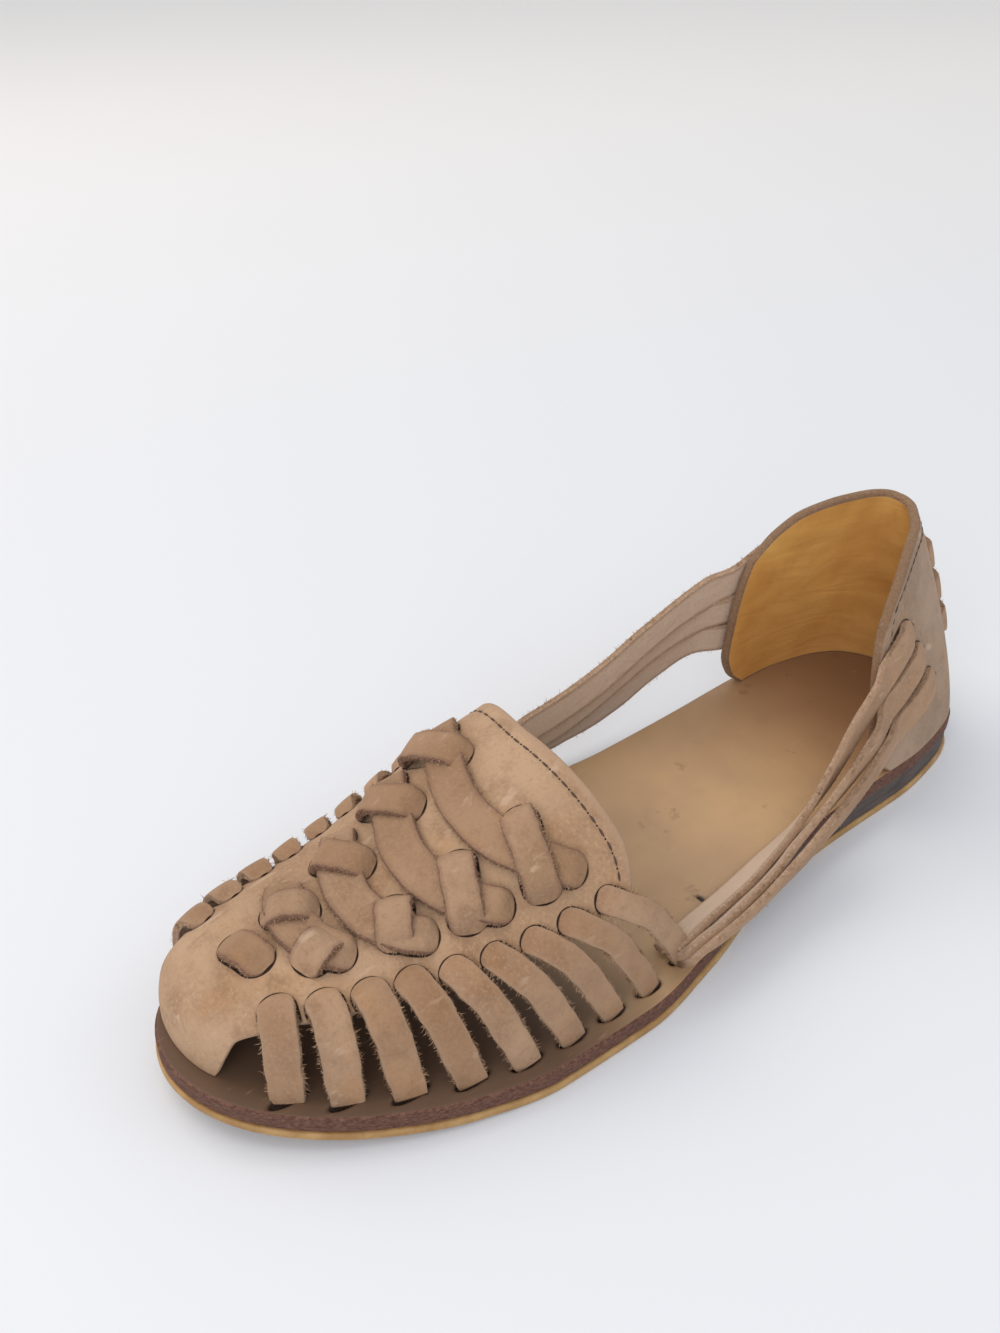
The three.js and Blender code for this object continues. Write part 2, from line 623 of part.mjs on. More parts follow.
function counterBody() {
  const outer = [];
  const inner = [];
  for (const t of range(10)) {
    const rounds = range(26).map((v) => 2 * v - 1);
    outer.push(rounds.map((r) => counterPoint(r, t)));
    inner.push(rounds.map((r) => overCounter(r, t, -COUNTER_WALL)));
  }
  for (const row of inner) {
    for (const p of row) p.z = Math.max(p.z, footbedTop(p.y) + GAP);
  }
  return wallBetween(inner.map((row) => [...row].reverse()), outer.map((row) => [...row].reverse()));
}

// Place on the counter (round, up) of the point with a given y and z on one side.
function counterPlace(y, z, side) {
  const sign = side === "medial" ? -1 : 1;
  let [r, u] = [0.8, 0.5];
  for (let i = 0; i < 60; i++) {
    const p = counterPoint(sign * r, u);
    r = clamp(r - (y - p.y) * 0.008, 0.02, 1.1);
    u = clamp(u + (z - p.z) * 0.012, 0, 1);
  }
  return [sign * r, u];
}

function quarterStrapPath(points, slot, side) {
  const sign = side === "medial" ? -1 : 1;
  const path = points.map((p) => ({
    at: new THREE.Vector3(p.x, p.y, p.z),
    out: new THREE.Vector3(sign * Math.cos(radians(p.lean)), 0, -Math.sin(radians(p.lean))),
  }));
  const last = points.at(-1);
  const [dy, dz] = [slot.y - last.y, slot.z - last.z];
  const span = Math.hypot(dy, dz);
  const onto = (distance, out) => {
    const t = distance / span;
    const [r, u] = counterPlace(last.y + dy * t, last.z + dz * t, side);
    path.push({ at: overCounter(r, u, out), out: counterNormal(r, u) });
  };
  onto(span * 0.36, RIDE + CHORD_ALLOWANCE);
  onto(span * 0.66, RIDE + CHORD_ALLOWANCE);
  onto(span - RISE, RIDE);
  onto(span + 1.2, -COUNTER_WALL / 2);
  onto(span + TAIL, -(COUNTER_WALL + RIDE));
  return path;
}

// Thong across the back of the counter, in and out through two upright slots.
function backThongPath({ z, from, to }) {
  const middle = (from + to) / 2;
  const up = range(40).find((u) => counterPoint(middle, u).z > z);
  const on = (round, out) => ({ at: overCounter(round, up, out), out: counterNormal(round, up) });
  const span = counterPoint(from, up).distanceTo(counterPoint(to, up));
  const step = (distance) => (distance / span) * (to - from);
  return [
    on(from - step(TAIL), -(COUNTER_WALL + RIDE)),
    on(from, -COUNTER_WALL / 2),
    ...range(4).map((t) => on(THREE.MathUtils.lerp(from + step(RISE), to - step(RISE), t), RIDE)),
    on(to, -COUNTER_WALL / 2),
    on(to + step(TAIL), -(COUNTER_WALL + RIDE)),
  ];
}

// ---------------------------------------------------------------- assembly

const sandal = new THREE.Group();
sandal.name = "huarache_sandal";

function add(name, solid, material) {
  const mesh = solid.translate([-CENTRE_LINE, 0, 0]).getMesh();
  const geometry = new THREE.BufferGeometry();
  geometry.setAttribute("position", new THREE.BufferAttribute(mesh.vertProperties, 3));
  geometry.setIndex(new THREE.BufferAttribute(mesh.triVerts, 1));
  const piece = new THREE.Mesh(geometry, material);
  piece.name = name;
  sandal.add(piece);
}

let vamp = vampBody();
let footbed = footbedBody;
let counter = counterBody();

for (const side of ["lateral", "medial"]) {
  SIDE_LOOPS.forEach((loop, i) => {
    const path = sideLoopPath(loop, side);
    vamp = vamp.subtract(cutter(path, 0, 2, loop.width));
    footbed = footbed.subtract(cutter(path, path.length - 2, path.length - 1, loop.width));
    add(`side_loop_${side}_${i + 1}`, strap(path, loop.width, THONG), THONG_LEATHER);
  });
  const straps = side === "lateral" ? QUARTER_LATERAL : QUARTER_MEDIAL;
  straps.forEach((points, i) => {
    const path = quarterStrapPath(points, COUNTER_SLOTS[side][i], side);
    counter = counter.subtract(cutter(path, path.length - 3, path.length - 1, QUARTER_WIDTH));
    add(`quarter_strap_${side}_${i + 1}`, strap(path, QUARTER_WIDTH, THONG), THONG_LEATHER);
  });
}

const throughVamp = (path) => {
  const last = path.length - 1;
  vamp = vamp.subtract(cutter(path, 0, 2, LOOP_WIDTH)).subtract(cutter(path, last - 2, last, LOOP_WIDTH));
};
WEAVE.forEach((unit, i) => {
  const paths = wovenUnit(unit, WEAVE_LOOPS[i]);
  paths.forEach(throughVamp);
  const joined = paths.map((path) => strap(path, BAND_WIDTH, THONG)).reduce((a, b) => a.add(b));
  add(`woven_unit_${WEAVE.length - i}`, joined, THONG_LEATHER);
});
const toeLoop = crossing(...TOE_LOOP, LOOP_WIDTH, [{ share: 0.5, out: RIDE + 0.4 }]);
throughVamp(toeLoop);
add("toe_loop", strap(toeLoop, LOOP_WIDTH, THONG), THONG_LEATHER);

BACK_THONGS.forEach((thong, i) => {
  const path = backThongPath(thong);
  const last = path.length - 1;
  counter = counter.subtract(cutter(path, 0, 2, BACK_THONG_WIDTH));
  counter = counter.subtract(cutter(path, last - 2, last, BACK_THONG_WIDTH));
  add(`back_thong_${i + 1}`, strap(path, BACK_THONG_WIDTH, THONG), THONG_LEATHER);
});

add("vamp", vamp, UPPER_LEATHER);
add("heel_counter", counter, UPPER_LEATHER);
add("footbed", footbed, FOOTBED_LEATHER);
add("heel_wedge", wedgeBody, WEDGE_RUBBER);
add("outsole", outsoleBody, CREPE_RUBBER);

export default sandal;
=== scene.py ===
"""Huarache sandal, left shoe: crepe outsole, heel wedge, leather footbed, woven vamp, thong side
loops, quarter straps and a tall slotted heel counter. Shapes are worked out in millimetres in the
maker's frame (toe towards -Y, lateral side towards +X) and go into the meshes in metres."""

import bmesh
import bpy
import numpy as np
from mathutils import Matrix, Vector


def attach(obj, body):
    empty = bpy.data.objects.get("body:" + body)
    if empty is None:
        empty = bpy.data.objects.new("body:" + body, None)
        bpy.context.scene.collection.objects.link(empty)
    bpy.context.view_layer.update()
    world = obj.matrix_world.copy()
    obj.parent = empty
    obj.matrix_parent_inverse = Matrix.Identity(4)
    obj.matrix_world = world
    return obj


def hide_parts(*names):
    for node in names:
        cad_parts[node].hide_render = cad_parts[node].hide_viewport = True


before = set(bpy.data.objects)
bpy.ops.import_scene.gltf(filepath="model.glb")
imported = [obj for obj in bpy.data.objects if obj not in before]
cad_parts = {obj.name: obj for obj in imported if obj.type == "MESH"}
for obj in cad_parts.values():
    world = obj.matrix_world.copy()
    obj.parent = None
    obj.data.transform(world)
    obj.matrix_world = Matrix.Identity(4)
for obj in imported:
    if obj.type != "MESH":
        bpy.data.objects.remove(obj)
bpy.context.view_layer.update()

MM = 0.001
CENTRE_LINE = 1.75  # mm, x of the middle of the whole width
RNG = np.random.default_rng(11)

# ------------------------------------------------------------------ sizes, mm

LENGTH = 258.0
HALF_WIDTH = 46.0
OUTSOLE = 2.0  # crepe sheet
FOOTBED = 4.4  # leather board
HEEL_LIFT = 6.5  # what the wedge raises the heel by
TOE_SPRING = 5.5
SPRING_START = 0.7  # share of the length, from the heel, where the toe leaves the floor
WEDGE_FRONT, WEDGE_FULL = 0.6, 0.2  # where the heel's rise begins and is complete
WEDGE_TIP, TIP_THICKNESS = 0.535, 0.3  # where the wedge ends, in a thin edge
FOOTBED_INSET, WEDGE_INSET, OUTSOLE_INSET = 0.6, 1.0, 0.15
ACROSS = (4, 12, 30, HALF_WIDTH)  # insets of the rings that close a layer's flat faces
ROOT_SLIT = (32, 4.4, 0.9, 4.2)  # by the quarter straps' root: x, y, half length, half width
GAP = 0.3  # clearance between two pieces that touch
THONG = 2.0  # thickness of every strap
VAMP_WALL = 2.0
COUNTER_WALL = 2.8
LOOP_WIDTH = 8.6
BAND_WIDTH = 10.4
BAND_TAPER = 2.2  # how much narrower the band's ends are
QUARTER_WIDTH = {"lateral": 8.6, "medial": 9.6}
BACK_WIDTH = 8.4
FOOTBED_TOP = OUTSOLE + GAP + FOOTBED


def table(columns, *rows):
    """A small table with named columns, as a dictionary of arrays."""
    return dict(zip(columns.split(), np.array(rows, float).T))


OUTLINE = table(
    "from_heel medial lateral",
    (0, 0, 0), (0.012, -14.9, 15.6), (0.04, -23.6, 24.3), (0.09, -28.7, 28.6),
    (0.16, -30.9, 31.3), (0.28, -30.1, 32), (0.4, -31.3, 35.1), (0.52, -36.4, 43.9),
    (0.62, -41.8, 48.6), (0.72, -44.8, 48.2), (0.8, -41.7, 43.8), (0.88, -35.2, 34.9),
    (0.94, -29.5, 24.3), (0.98, -20.3, 12.6), (1, -4.8, -4.8),
)
THROAT, THROAT_EDGE, THROAT_SWING, NOSE = -18.0, -24.6, 6.0, -124.5  # y, y, mm and y
EDGE_REACH, CORNER_FROM, CORNER_CUT = 33.0, 128.0, 5.0  # degrees, degrees and mm at the throat
ARCH = table(
    "along medial lateral crown height fullness",
    (0, -38.5, 43.5, -6, 48, 3), (0.17, -38.5, 45, -7, 43, 3), (0.32, -38.5, 44.5, -8, 35, 2.9),
    (0.47, -38.5, 40.5, -8.5, 28.5, 2.7), (0.62, -37.5, 34, -8.5, 24.5, 2.5),
    (0.76, -34.5, 27.5, -8.5, 22.5, 2.5), (0.87, -30, 17.5, -8.5, 20, 2.5),
    (0.94, -26, 9.5, -8.5, 16.5, 2.5), (0.98, -20, 3, -8.5, 11, 2.3),
    (1, -8.5, -8.5, -8.5, 0, 2.3),
)
LATERAL_FULLNESS = 2.2  # exponent of the lateral half arch; the medial one is in the table
VAMP_EDGE = table(
    "y medial lateral",
    (-121.5, 0, 0), (-119.5, 14, 22), (-116.5, 34, 38), (-112, 40, 42), (-104, 42, 46),
    (-88, 41, 45.5), (-69, 38, 44.5), (-51, 35, 39.5), (-30, 32, 33),
)
SIDE_LOOPS = table(
    "top medial lateral base width",
    (-106.5, 58, 61, -111.3, 8.2), (-98, 55, 58, -101, 8.2), (-89, 53, 56, -89, 8.1),
    (-80.5, 51, 54, -76, 7.7), (-72, 49, 51, -63, 7.2), (-63.5, 47, 48.5, -50.5, 6.9),
    (-55, 45, 46, -38.5, 6.6), (-46.5, 43, 43, -26.5, 6.4), (-37, 41, 40.5, -13, 6.6),
)
LOOP_BULGE = {"medial": 1.3, "lateral": 0.5}  # how far a side loop stands away from the vamp
LOOP_PULL = {"medial": 0.3, "lateral": 0.8}  # how straight a side loop runs to its foot
LOOP_LEAVES = 0.34  # share of a side loop that lies on the vamp
LOOP_ON_ARCH = 0.84  # share of a side loop that follows the vamp's arch, before its foot
LOOP_RISE = 4.6  # length over which a side loop comes out of its slot
LOOP_NARROWED = {"medial": 0.84, "lateral": 1}
LOOP_INSET = {"medial": 7.0, "lateral": 5.5}  # of the feet from the sole's edge
FOOT_ANGLE = 9.0  # degrees round the arch where a side loop would meet the footbed
FOOT_STEPS = (-1.6, 0, 1.1, 2.0)  # along the foot, from above the footbed to inside it
FOOT_SLOT = 1.75  # half the width of the slot round a foot

# The woven units, heel to toe, in plan: the band's ends and middle, then both loops' ends.
WEAVE = (
    {"band": ((-29.5, -33.3), (2, -48), (29.3, -36.6)),
     "loops": (((-11.4, -38.8), (-30.4, -44.6)), ((7.9, -40.2), (28, -47.1)))},
    {"band": ((-27.5, -50.6), (1, -64.3), (24.3, -53.4)),
     "loops": (((-10.6, -53.3), (-26, -62)), ((4.9, -55.4), (21.9, -64.2)))},
    {"band": ((-23.4, -69.1), (-0.5, -80), (18, -70)),
     "loops": (((-6.4, -70.9), (-20.2, -79.7)), ((3.3, -71.7), (14.6, -79.5)))},
    {"band": ((-18, -88), (-3.5, -94), (10.4, -87.2)),
     "loops": (((-5.2, -86.6), (-12, -98.4)), ((2.8, -87.5), (6.3, -99)))},
)
TOE_LOOP = ((-11.7, -107.6), (1.4, -104))

COUNTER_FRONT, COUNTER_INSET, RIM_HEIGHT = 0.222, 1.2, 75.0  # share of the length, mm, mm
LEAN_GROWTH = 1.35  # the lean grows with the height to this power
RIM = table(
    "round height forward narrower sideways",
    (0, 1, 10.5, 0.6, -7), (0.3, 1, 9.3, 0.58, -6), (0.55, 0.99, 6.6, 0.48, -4.2),
    (0.75, 0.955, 3.8, 0.36, -3.3), (0.9, 0.89, 1, 0.26, -2.5), (1, 0.79, 0, 0.18, -2.2),
)
COUNTER_EDGE = table("up back", (0, 9), (0.1, 4), (0.3, 0.5), (0.6, 1), (0.85, 2.5), (1, 5))

QUARTER_STRAPS = {
    "lateral": (
        table("y z x lean", (-17, 10.6, 38.8, 58), (-7.5, 11.6, 37.4, 56), (9, 12.2, 35.6, 55),
              (25, 14, 33.4, 47), (34, 16.4, 32.6, 38), (44, 22.4, 32, 27), (52, 30, 31.3, 18),
              (60, 37.3, 30, 10), (68.5, 43.8, 28.7, 8)),
        table("y z x lean", (-17, 10.9, 42.2, 44), (-7, 12.2, 42.1, 40), (8, 12.4, 40, 40),
              (22, 14.2, 38.3, 36), (30, 17, 37.2, 33), (38, 20.3, 36.6, 29), (46.5, 23.8, 35.8, 22),
              (56, 27.6, 34.4, 15), (66, 32.9, 32.8, 10)),
        table("y z x lean", (-17, 10.6, 44.6, 40), (-6, 12.2, 45.2, 26), (8, 12.8, 44, 22),
              (22, 14.2, 41.9, 19), (31, 16.2, 40.9, 17), (39, 18.4, 39.8, 15), (50, 20.6, 38, 12),
              (62, 22.8, 35.3, 10), (73, 26.7, 32.6, 8)),
    ),
    "medial": (
        table("y z x lean", (-27, 17, -33, 0), (-15, 19.6, -35.2, 0), (-5, 22, -37.6, 0),
              (4, 23.2, -39, 0), (17, 25, -39.2, 0), (31, 29.3, -38.6, 0), (45, 37.2, -36.9, 0),
              (57.5, 44.1, -34.6, 2), (67, 48.6, -32.2, 5)),
        table("y z x lean", (-27, 12.2, -29.5, 0), (-15, 13.6, -32, 0), (-5, 15, -37.4, 0),
              (4, 15.9, -41, 0), (14, 17, -41.6, 0), (27, 20.3, -41.3, 0), (40, 26, -40.5, 0),
              (53, 32.8, -38.7, 2), (65, 38.3, -35.2, 4)),
        table("y z x lean", (-27, 11, -26.5, 0), (-15, 11.2, -29, 0), (-5, 11.8, -36.6, 0),
              (4, 12.2, -42.6, 0), (15, 12, -44, 0), (27, 12.8, -43.7, 0), (40, 16, -42.9, 0),
              (53, 22.4, -41.1, 2), (66, 29, -37.3, 4)),
    ),
}
COUNTER_SLOTS = {
    "lateral": ((88.3, 55.3), (94.8, 46), (101.6, 34.8)),
    "medial": ((92, 61), (97, 49.4), (100, 36.4)),
}
OVER_WALL = (0.3, 0.45, 0.6, 0.75)  # shares of a quarter strap's way over the counter
TO_SLOT = (4, 2.6, 1.3, 0)  # lengths before its slot where it begins to go in
OFF_WALL = (0.1, 0.1, 0.1, 0.05, -0.35, -0.8, -1.1, -1.3)  # its height over lying on the wall
BACK_THONGS = table("z ends", (59, 0.27), (49.4, 0.29), (39.8, 0.31))
BACK_RISE, STRAP_RISE, TOE_LOOP_RISE = 3.4, 3.6, 5.5  # lengths of a strap's climb from its slot
CROSSING_LIFT = 1.9  # how far a crossing loop stands over its band
STRAP_STEPS, QUARTER_STEPS = 64, 110
SINKS_OVER = 1.2  # length over which a strap's end is painted dark as shade in its slot


# ------------------------------------------------------------------ curves

def curve(knots, values, at):
    """Smooth monotone curve through knots: between two knots a cubic, whose slope at each knot is
    the weighted harmonic mean of the rises beside it, or zero at a turn."""
    x, y = np.asarray(knots, float), np.asarray(values, float)
    step = np.diff(x)
    rise = np.diff(y) / step
    before, after = rise[:-1], rise[1:]
    wa, wb = 2 * step[1:] + step[:-1], step[1:] + 2 * step[:-1]
    same = before * after > 0
    slope = np.empty_like(y)
    slope[0], slope[-1] = rise[0], rise[-1]
    slope[1:-1] = np.where(
        same, (wa + wb) / (wa / np.where(same, before, 1) + wb / np.where(same, after, 1)), 0
    )
    at = np.clip(at, x[0], x[-1])
    i = np.clip(np.searchsorted(x, at, side="right") - 1, 0, len(step) - 1)
    h = step[i]
    t = (at - x[i]) / h
    return (
        (2 * t**3 - 3 * t**2 + 1) * y[i] + (t**3 - 2 * t**2 + t) * h * slope[i]
        + (3 * t**2 - 2 * t**3) * y[i + 1] + (t**3 - t**2) * h * slope[i + 1]
    )


def smooth(low, high, value):
    """0 below low, 1 above high, and the cubic 3t^2 - 2t^3 between."""
    t = np.clip((value - low) / (high - low), 0, 1)
    return t * t * (3 - 2 * t)


def unit(vectors):
    """Vectors of length 1."""
    return vectors / np.maximum(np.linalg.norm(vectors, axis=-1, keepdims=True), 1e-9)


def dot(a, b):
    """Dot product along the last axis, which is kept."""
    return np.sum(a * b, axis=-1, keepdims=True)


def lengths(points):
    """Length along a line of points, from its start to each of them."""
    return np.concatenate([[0], np.cumsum(np.linalg.norm(np.diff(points, axis=0), axis=1))])


def resample(points, count, *others):
    """Points spaced evenly by length along a route, and other columns carried along with them."""
    length = lengths(points)
    at = np.linspace(0, length[-1], count)
    pick = lambda rows: np.stack([curve(length, column, at) for column in rows.T], axis=1)
    return [pick(points)] + [pick(rows) for rows in others]


def wander(count, reach, turns):
    """A slow random line of count values: a few sine waves of random phase, up to about reach."""
    t = np.linspace(0, 1, count)
    waves = [
        np.sin(2 * np.pi * (turns * k * t + RNG.random())) / k for k in (1, 1.7, 2.9, 5.3)
    ]
    return reach * np.sum(waves, axis=0) / 1.6


# ------------------------------------------------------------------ meshes

def placed(name, data):
    """A new object in the scene, at the origin."""
    made = bpy.data.objects.new(name, data)
    bpy.context.collection.objects.link(made)
    return made


def piece(name, points, faces, covers, materials, marks=None, face_material=None):
    """One piece of the sandal: points (mm) and faces become a mesh in metres, doubles merged and
    faces turned outwards. marks are named values at the points, for the materials."""
    mesh = bpy.data.meshes.new(name)
    mesh.from_pydata((points - [CENTRE_LINE, 0, 0]) * MM, [], faces)
    for key, values in (marks or {}).items():
        mesh.attributes.new(key, "FLOAT", "POINT").data.foreach_set(
            "value", np.asarray(values, np.float32).ravel()
        )
    for material in materials:
        mesh.materials.append(material)
    if face_material is not None:
        mesh.polygons.foreach_set("material_index", np.asarray(face_material, np.int32))
    shape = bmesh.new()
    shape.from_mesh(mesh)
    bmesh.ops.remove_doubles(shape, verts=shape.verts, dist=2e-6)
    bmesh.ops.recalc_face_normals(shape, faces=shape.faces)
    shape.to_mesh(mesh)
    shape.free()
    mesh.shade_smooth()
    made = placed(name, mesh)
    if covers:
        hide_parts(*covers)
    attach(made, "root")


def grid_faces(rows, columns, first=0, closed=False):
    """Quads of a grid of points stored row by row; closed joins the last column to the first."""
    i = np.arange(rows - 1)[:, None]
    j = np.arange(columns if closed else columns - 1)[None, :]
    k = (j + 1) % columns
    quads = np.stack(np.broadcast_arrays(
        i * columns + j, i * columns + k, (i + 1) * columns + k, (i + 1) * columns + j
    ), axis=-1)
    return (quads.reshape(-1, 4) + first).tolist()


ROLL = 4  # rows in a rolled edge


def rolled(points, normals, wall):
    """Adds rows before the first and after the last that roll over the wall's edge: half a circle
    of the wall's thickness, from the outer face round to the inner one. wall is a thickness, or
    one for each column, where a corner has used up part of it already."""
    turn = np.linspace(0, np.pi, ROLL + 1)[1:, None, None]
    half = np.asarray(wall, float).reshape(-1, 1) / 2
    rim = []
    for edge, inner in ((0, 1), (-1, -2)):
        beyond = unit(points[edge] - points[inner])
        rim.append(
            points[edge] + beyond * half * 0.7 * np.sin(turn)
            + normals[edge] * half * (np.cos(turn) - 1)
        )
    return np.concatenate([rim[0][::-1], points, rim[1]])


def rolled_all_round(points, normals, wall):
    """Rolls all four edges of a grid: first the side columns, then the rows."""
    across = rolled(np.swapaxes(points, 0, 1), np.swapaxes(normals, 0, 1), wall)
    used = (1 - np.cos(np.linspace(0, np.pi, ROLL + 1)[1:])) / 2
    left = wall * (1 - np.concatenate([used[::-1], np.zeros(points.shape[1]), used]))
    wide = np.pad(normals, ((0, 0), (ROLL, ROLL), (0, 0)), mode="edge")
    return rolled(np.swapaxes(across, 0, 1), wide, left)


def shell(outer, inner):
    """Closed wall from a grid of 4r+1 by 4c+1 outer points and one of r+1 by c+1 inner points: the
    rims are joined with seven-sided faces, four outer steps to one inner. Gives points, faces and
    1 for each face of the inner side."""
    rows, columns = outer.shape[:2]
    inner_rows, inner_columns = inner.shape[:2]
    first = rows * columns
    points = np.concatenate([outer.reshape(-1, 3), inner.reshape(-1, 3)])
    faces = grid_faces(rows, columns)
    inside = grid_faces(inner_rows, inner_columns, first)
    number = np.arange(first).reshape(rows, columns)
    inner_number = np.arange(inner_rows * inner_columns).reshape(inner_rows, -1) + first
    for a, b in (
        (number[0], inner_number[0]), (number[-1], inner_number[-1]),
        (number[:, 0], inner_number[:, 0]), (number[:, -1], inner_number[:, -1]),
    ):
        faces += np.stack([a[:-4:4], a[1:-3:4], a[2:-2:4], a[3:-1:4], a[4::4], b[1:], b[:-1]],
                          axis=1).tolist()
    return points, faces + inside, np.arange(len(faces) + len(inside)) >= len(faces)


# ------------------------------------------------------------------ sole

def swing(share):
    """Turns a share of the length into an angle, which evens out the round ends."""
    return np.arccos(1 - 2 * np.clip(share, 0, 1))


def outline(share, side, inset=0.0):
    """Point of the sole's edge: a half width from the table about a middle line that leans towards
    the medial side, drawn in by inset."""
    middle = OUTLINE["lateral"][-1] * share
    half = curve(swing(OUTLINE["from_heel"]), OUTLINE[side], swing(share)) - middle
    return middle + half * (1 - inset / HALF_WIDTH), (LENGTH / 2 - inset) * (1 - 2 * share)


def edge_at(y, side, inset=0.0):
    """x of that edge at a given y."""
    return outline((1 - y / (LENGTH / 2 - inset)) / 2, side, inset)[0]


def spring(y):
    """Rise of the toe: the square of the share of the way past where it leaves the floor."""
    share = (LENGTH / 2 - y) / LENGTH
    return TOE_SPRING * np.clip((share - SPRING_START) / (1 - SPRING_START), 0, 1) ** 2


def lift(y):
    """Rise of the heel on its wedge: a smooth step from 60% to 20% of the length."""
    share = (LENGTH / 2 - y) / LENGTH
    return HEEL_LIFT * smooth(0, WEDGE_FRONT - WEDGE_FULL, WEDGE_FRONT - share)


def footbed_top(y):
    """Height of the footbed's upper face."""
    return FOOTBED_TOP + spring(y) + lift(y)


def slab(profile, around=720, tip=1.0):
    """Closed layer of the sole, as far forward as tip, a share of the length. The profile is a list
    of rings (inset, height function): each ring is the outline drawn in by its inset, at that
    height, and the innermost rings close on a line."""
    share = (1 - np.cos(np.linspace(0, np.pi, around // 2 + 1))) / 2 * tip
    rings = []
    for inset, height in profile:
        lateral = np.stack(outline(share, "lateral", inset), axis=1)
        medial = np.stack(outline(share, "medial", inset), axis=1)
        ring = np.concatenate([lateral, medial[-2:0:-1]])
        rings.append(np.column_stack([ring, height(ring[:, 1])]))
    return np.stack(rings)


def layer(name, node, material, profile, tip=1.0):
    """A layer of the sole as a piece."""
    rings = slab(profile, tip=tip)
    piece(name, rings.reshape(-1, 3), grid_faces(*rings.shape[:2], closed=True), [node],
          [material])


def edge_profile(under, over, inset, soft):
    """Rings of a layer between two heights with softened edges: across the underside, round the
    lower edge, up the side, round the upper edge and across the top."""
    turn = np.linspace(0, np.pi / 2, 5)
    rings = [(inset + d, under) for d in (HALF_WIDTH - inset, *ACROSS[2::-1])]
    for a in turn:
        rings.append((inset + soft * (1 - np.sin(a)),
                      lambda y, a=a: under(y) + soft * (1 - np.cos(a))))
    for a in turn:
        rings.append((inset + soft * (1 - np.cos(a)),
                      lambda y, a=a: over(y) - soft * (1 - np.sin(a))))
    return rings


# ------------------------------------------------------------------ vamp

def section(y):
    """Section of the vamp at y: columns of the arch table, along swung by its arcsine."""
    swung = np.arcsin(np.clip((THROAT - y) / (THROAT - NOSE), 0, 1))
    column = lambda key: curve(np.arcsin(ARCH["along"]), ARCH[key], swung)
    return {key: column(key) for key in ("medial", "lateral", "crown", "height", "fullness")}


def vamp_point(y, angle):
    """Point of the vamp's outer face: a superellipse quarter on either side of the crown, its
    exponent the fullness of that side. angle is 0 at the medial base and 180 at the lateral."""
    s = section(y)
    a = np.radians(angle)
    medial = angle < 90
    power = 2 / np.where(medial, s["fullness"], LATERAL_FULLNESS)
    reach = np.where(medial, s["medial"], s["lateral"]) - s["crown"]
    x = s["crown"] + reach * np.abs(np.cos(a)) ** power
    z = footbed_top(y) + GAP + s["height"] * np.maximum(np.sin(a), 0) ** power
    return np.stack(np.broadcast_arrays(x, y, z), axis=-1)


def vamp_normal(y, angle):
    """Outward normal there: the cross product of short steps round and along."""
    low, far = np.clip(angle, 4, 176), np.maximum(y, NOSE + 1.5)
    along = vamp_point(far + 0.5, low) - vamp_point(far - 0.5, low)
    about = vamp_point(far, low + 2) - vamp_point(far, low - 2)
    return unit(np.cross(about, along))


def angle_at(x, y):
    """Angle round the arch of the point at x, y in plan."""
    s = section(y)
    medial = x < s["crown"]
    fullness = np.where(medial, s["fullness"], LATERAL_FULLNESS)
    reach = np.where(medial, s["medial"], s["lateral"]) - s["crown"]
    cosine = np.clip((x - s["crown"]) / reach, 0, 1) ** (fullness / 2)
    turn = np.degrees(np.arccos(cosine))
    return np.where(medial, turn, 180 - turn)


# ------------------------------------------------------------------ counter

def counter_point(around, up):
    """Point of the counter's outer face: the sole's outline, which leans, narrows and shifts
    towards the rim as up to the power LEAN_GROWTH. around is -1 at the medial front edge and 1 at
    the lateral one."""
    around, up = np.broadcast_arrays(around, up)
    r = np.abs(around)
    share = (1 - np.cos(r * swing(COUNTER_FRONT))) / 2
    medial, lateral = (outline(share, side, COUNTER_INSET) for side in ("medial", "lateral"))
    base_x, base_y = np.where(around < 0, medial[0], lateral[0]), lateral[1]
    lean = np.maximum(up, 0) ** LEAN_GROWTH
    at = {key: curve(RIM["round"], RIM[key], r) for key in RIM}
    edge = curve(COUNTER_EDGE["up"], COUNTER_EDGE["back"], up) * r**5
    foot, rim = footbed_top(base_y) + GAP, RIM_HEIGHT * at["height"]
    return np.stack([
        base_x * (1 - at["narrower"] * lean) + at["sideways"] * lean,
        base_y - at["forward"] * lean + edge,
        foot + (rim - foot) * up,
    ], axis=-1)


def counter_normal(around, up):
    """Outward normal there, from short steps round and up."""
    r, u = np.clip(around, -0.97, 0.97), np.clip(up, 0.03, 0.97)
    about = counter_point(r + 0.02, u) - counter_point(r - 0.02, u)
    upward = counter_point(r, u + 0.02) - counter_point(r, u - 0.02)
    return unit(np.cross(upward, about))


def counter_place(y, z, sign):
    """around and up of the point with that y and z on one side, closed in on step by step."""
    r, u = np.full_like(y, 0.8), np.full_like(y, 0.5)
    for _ in range(80):
        p = counter_point(sign * r, u)
        r = np.clip(r - (y - p[..., 1]) * 0.008, 0.02, 1.1)
        u = np.clip(u + (z - p[..., 2]) * 0.012, 0, 1)
    return sign * r, u


# ------------------------------------------------------------------ thongs

TIP = 0.92  # length of a strap's round end, as a share of its half width
EDGE_WANDER = 0.16  # how far a strap's cut edges stray
STRAP_CORNER = 0.42  # radius of a strap's long corners
FLUSH = THONG / 2 - 0.25  # depth of a strap's middle where its face is level with the wall's
THONGS = []  # name, points, faces and marks of each strap, for the meshes at the end
SLOTS = {"vamp": [], "counter": []}  # each slot's centre, direction, half width and normal
EDGES = []  # cut edges: points, outward and sideways directions, for the loose fibres


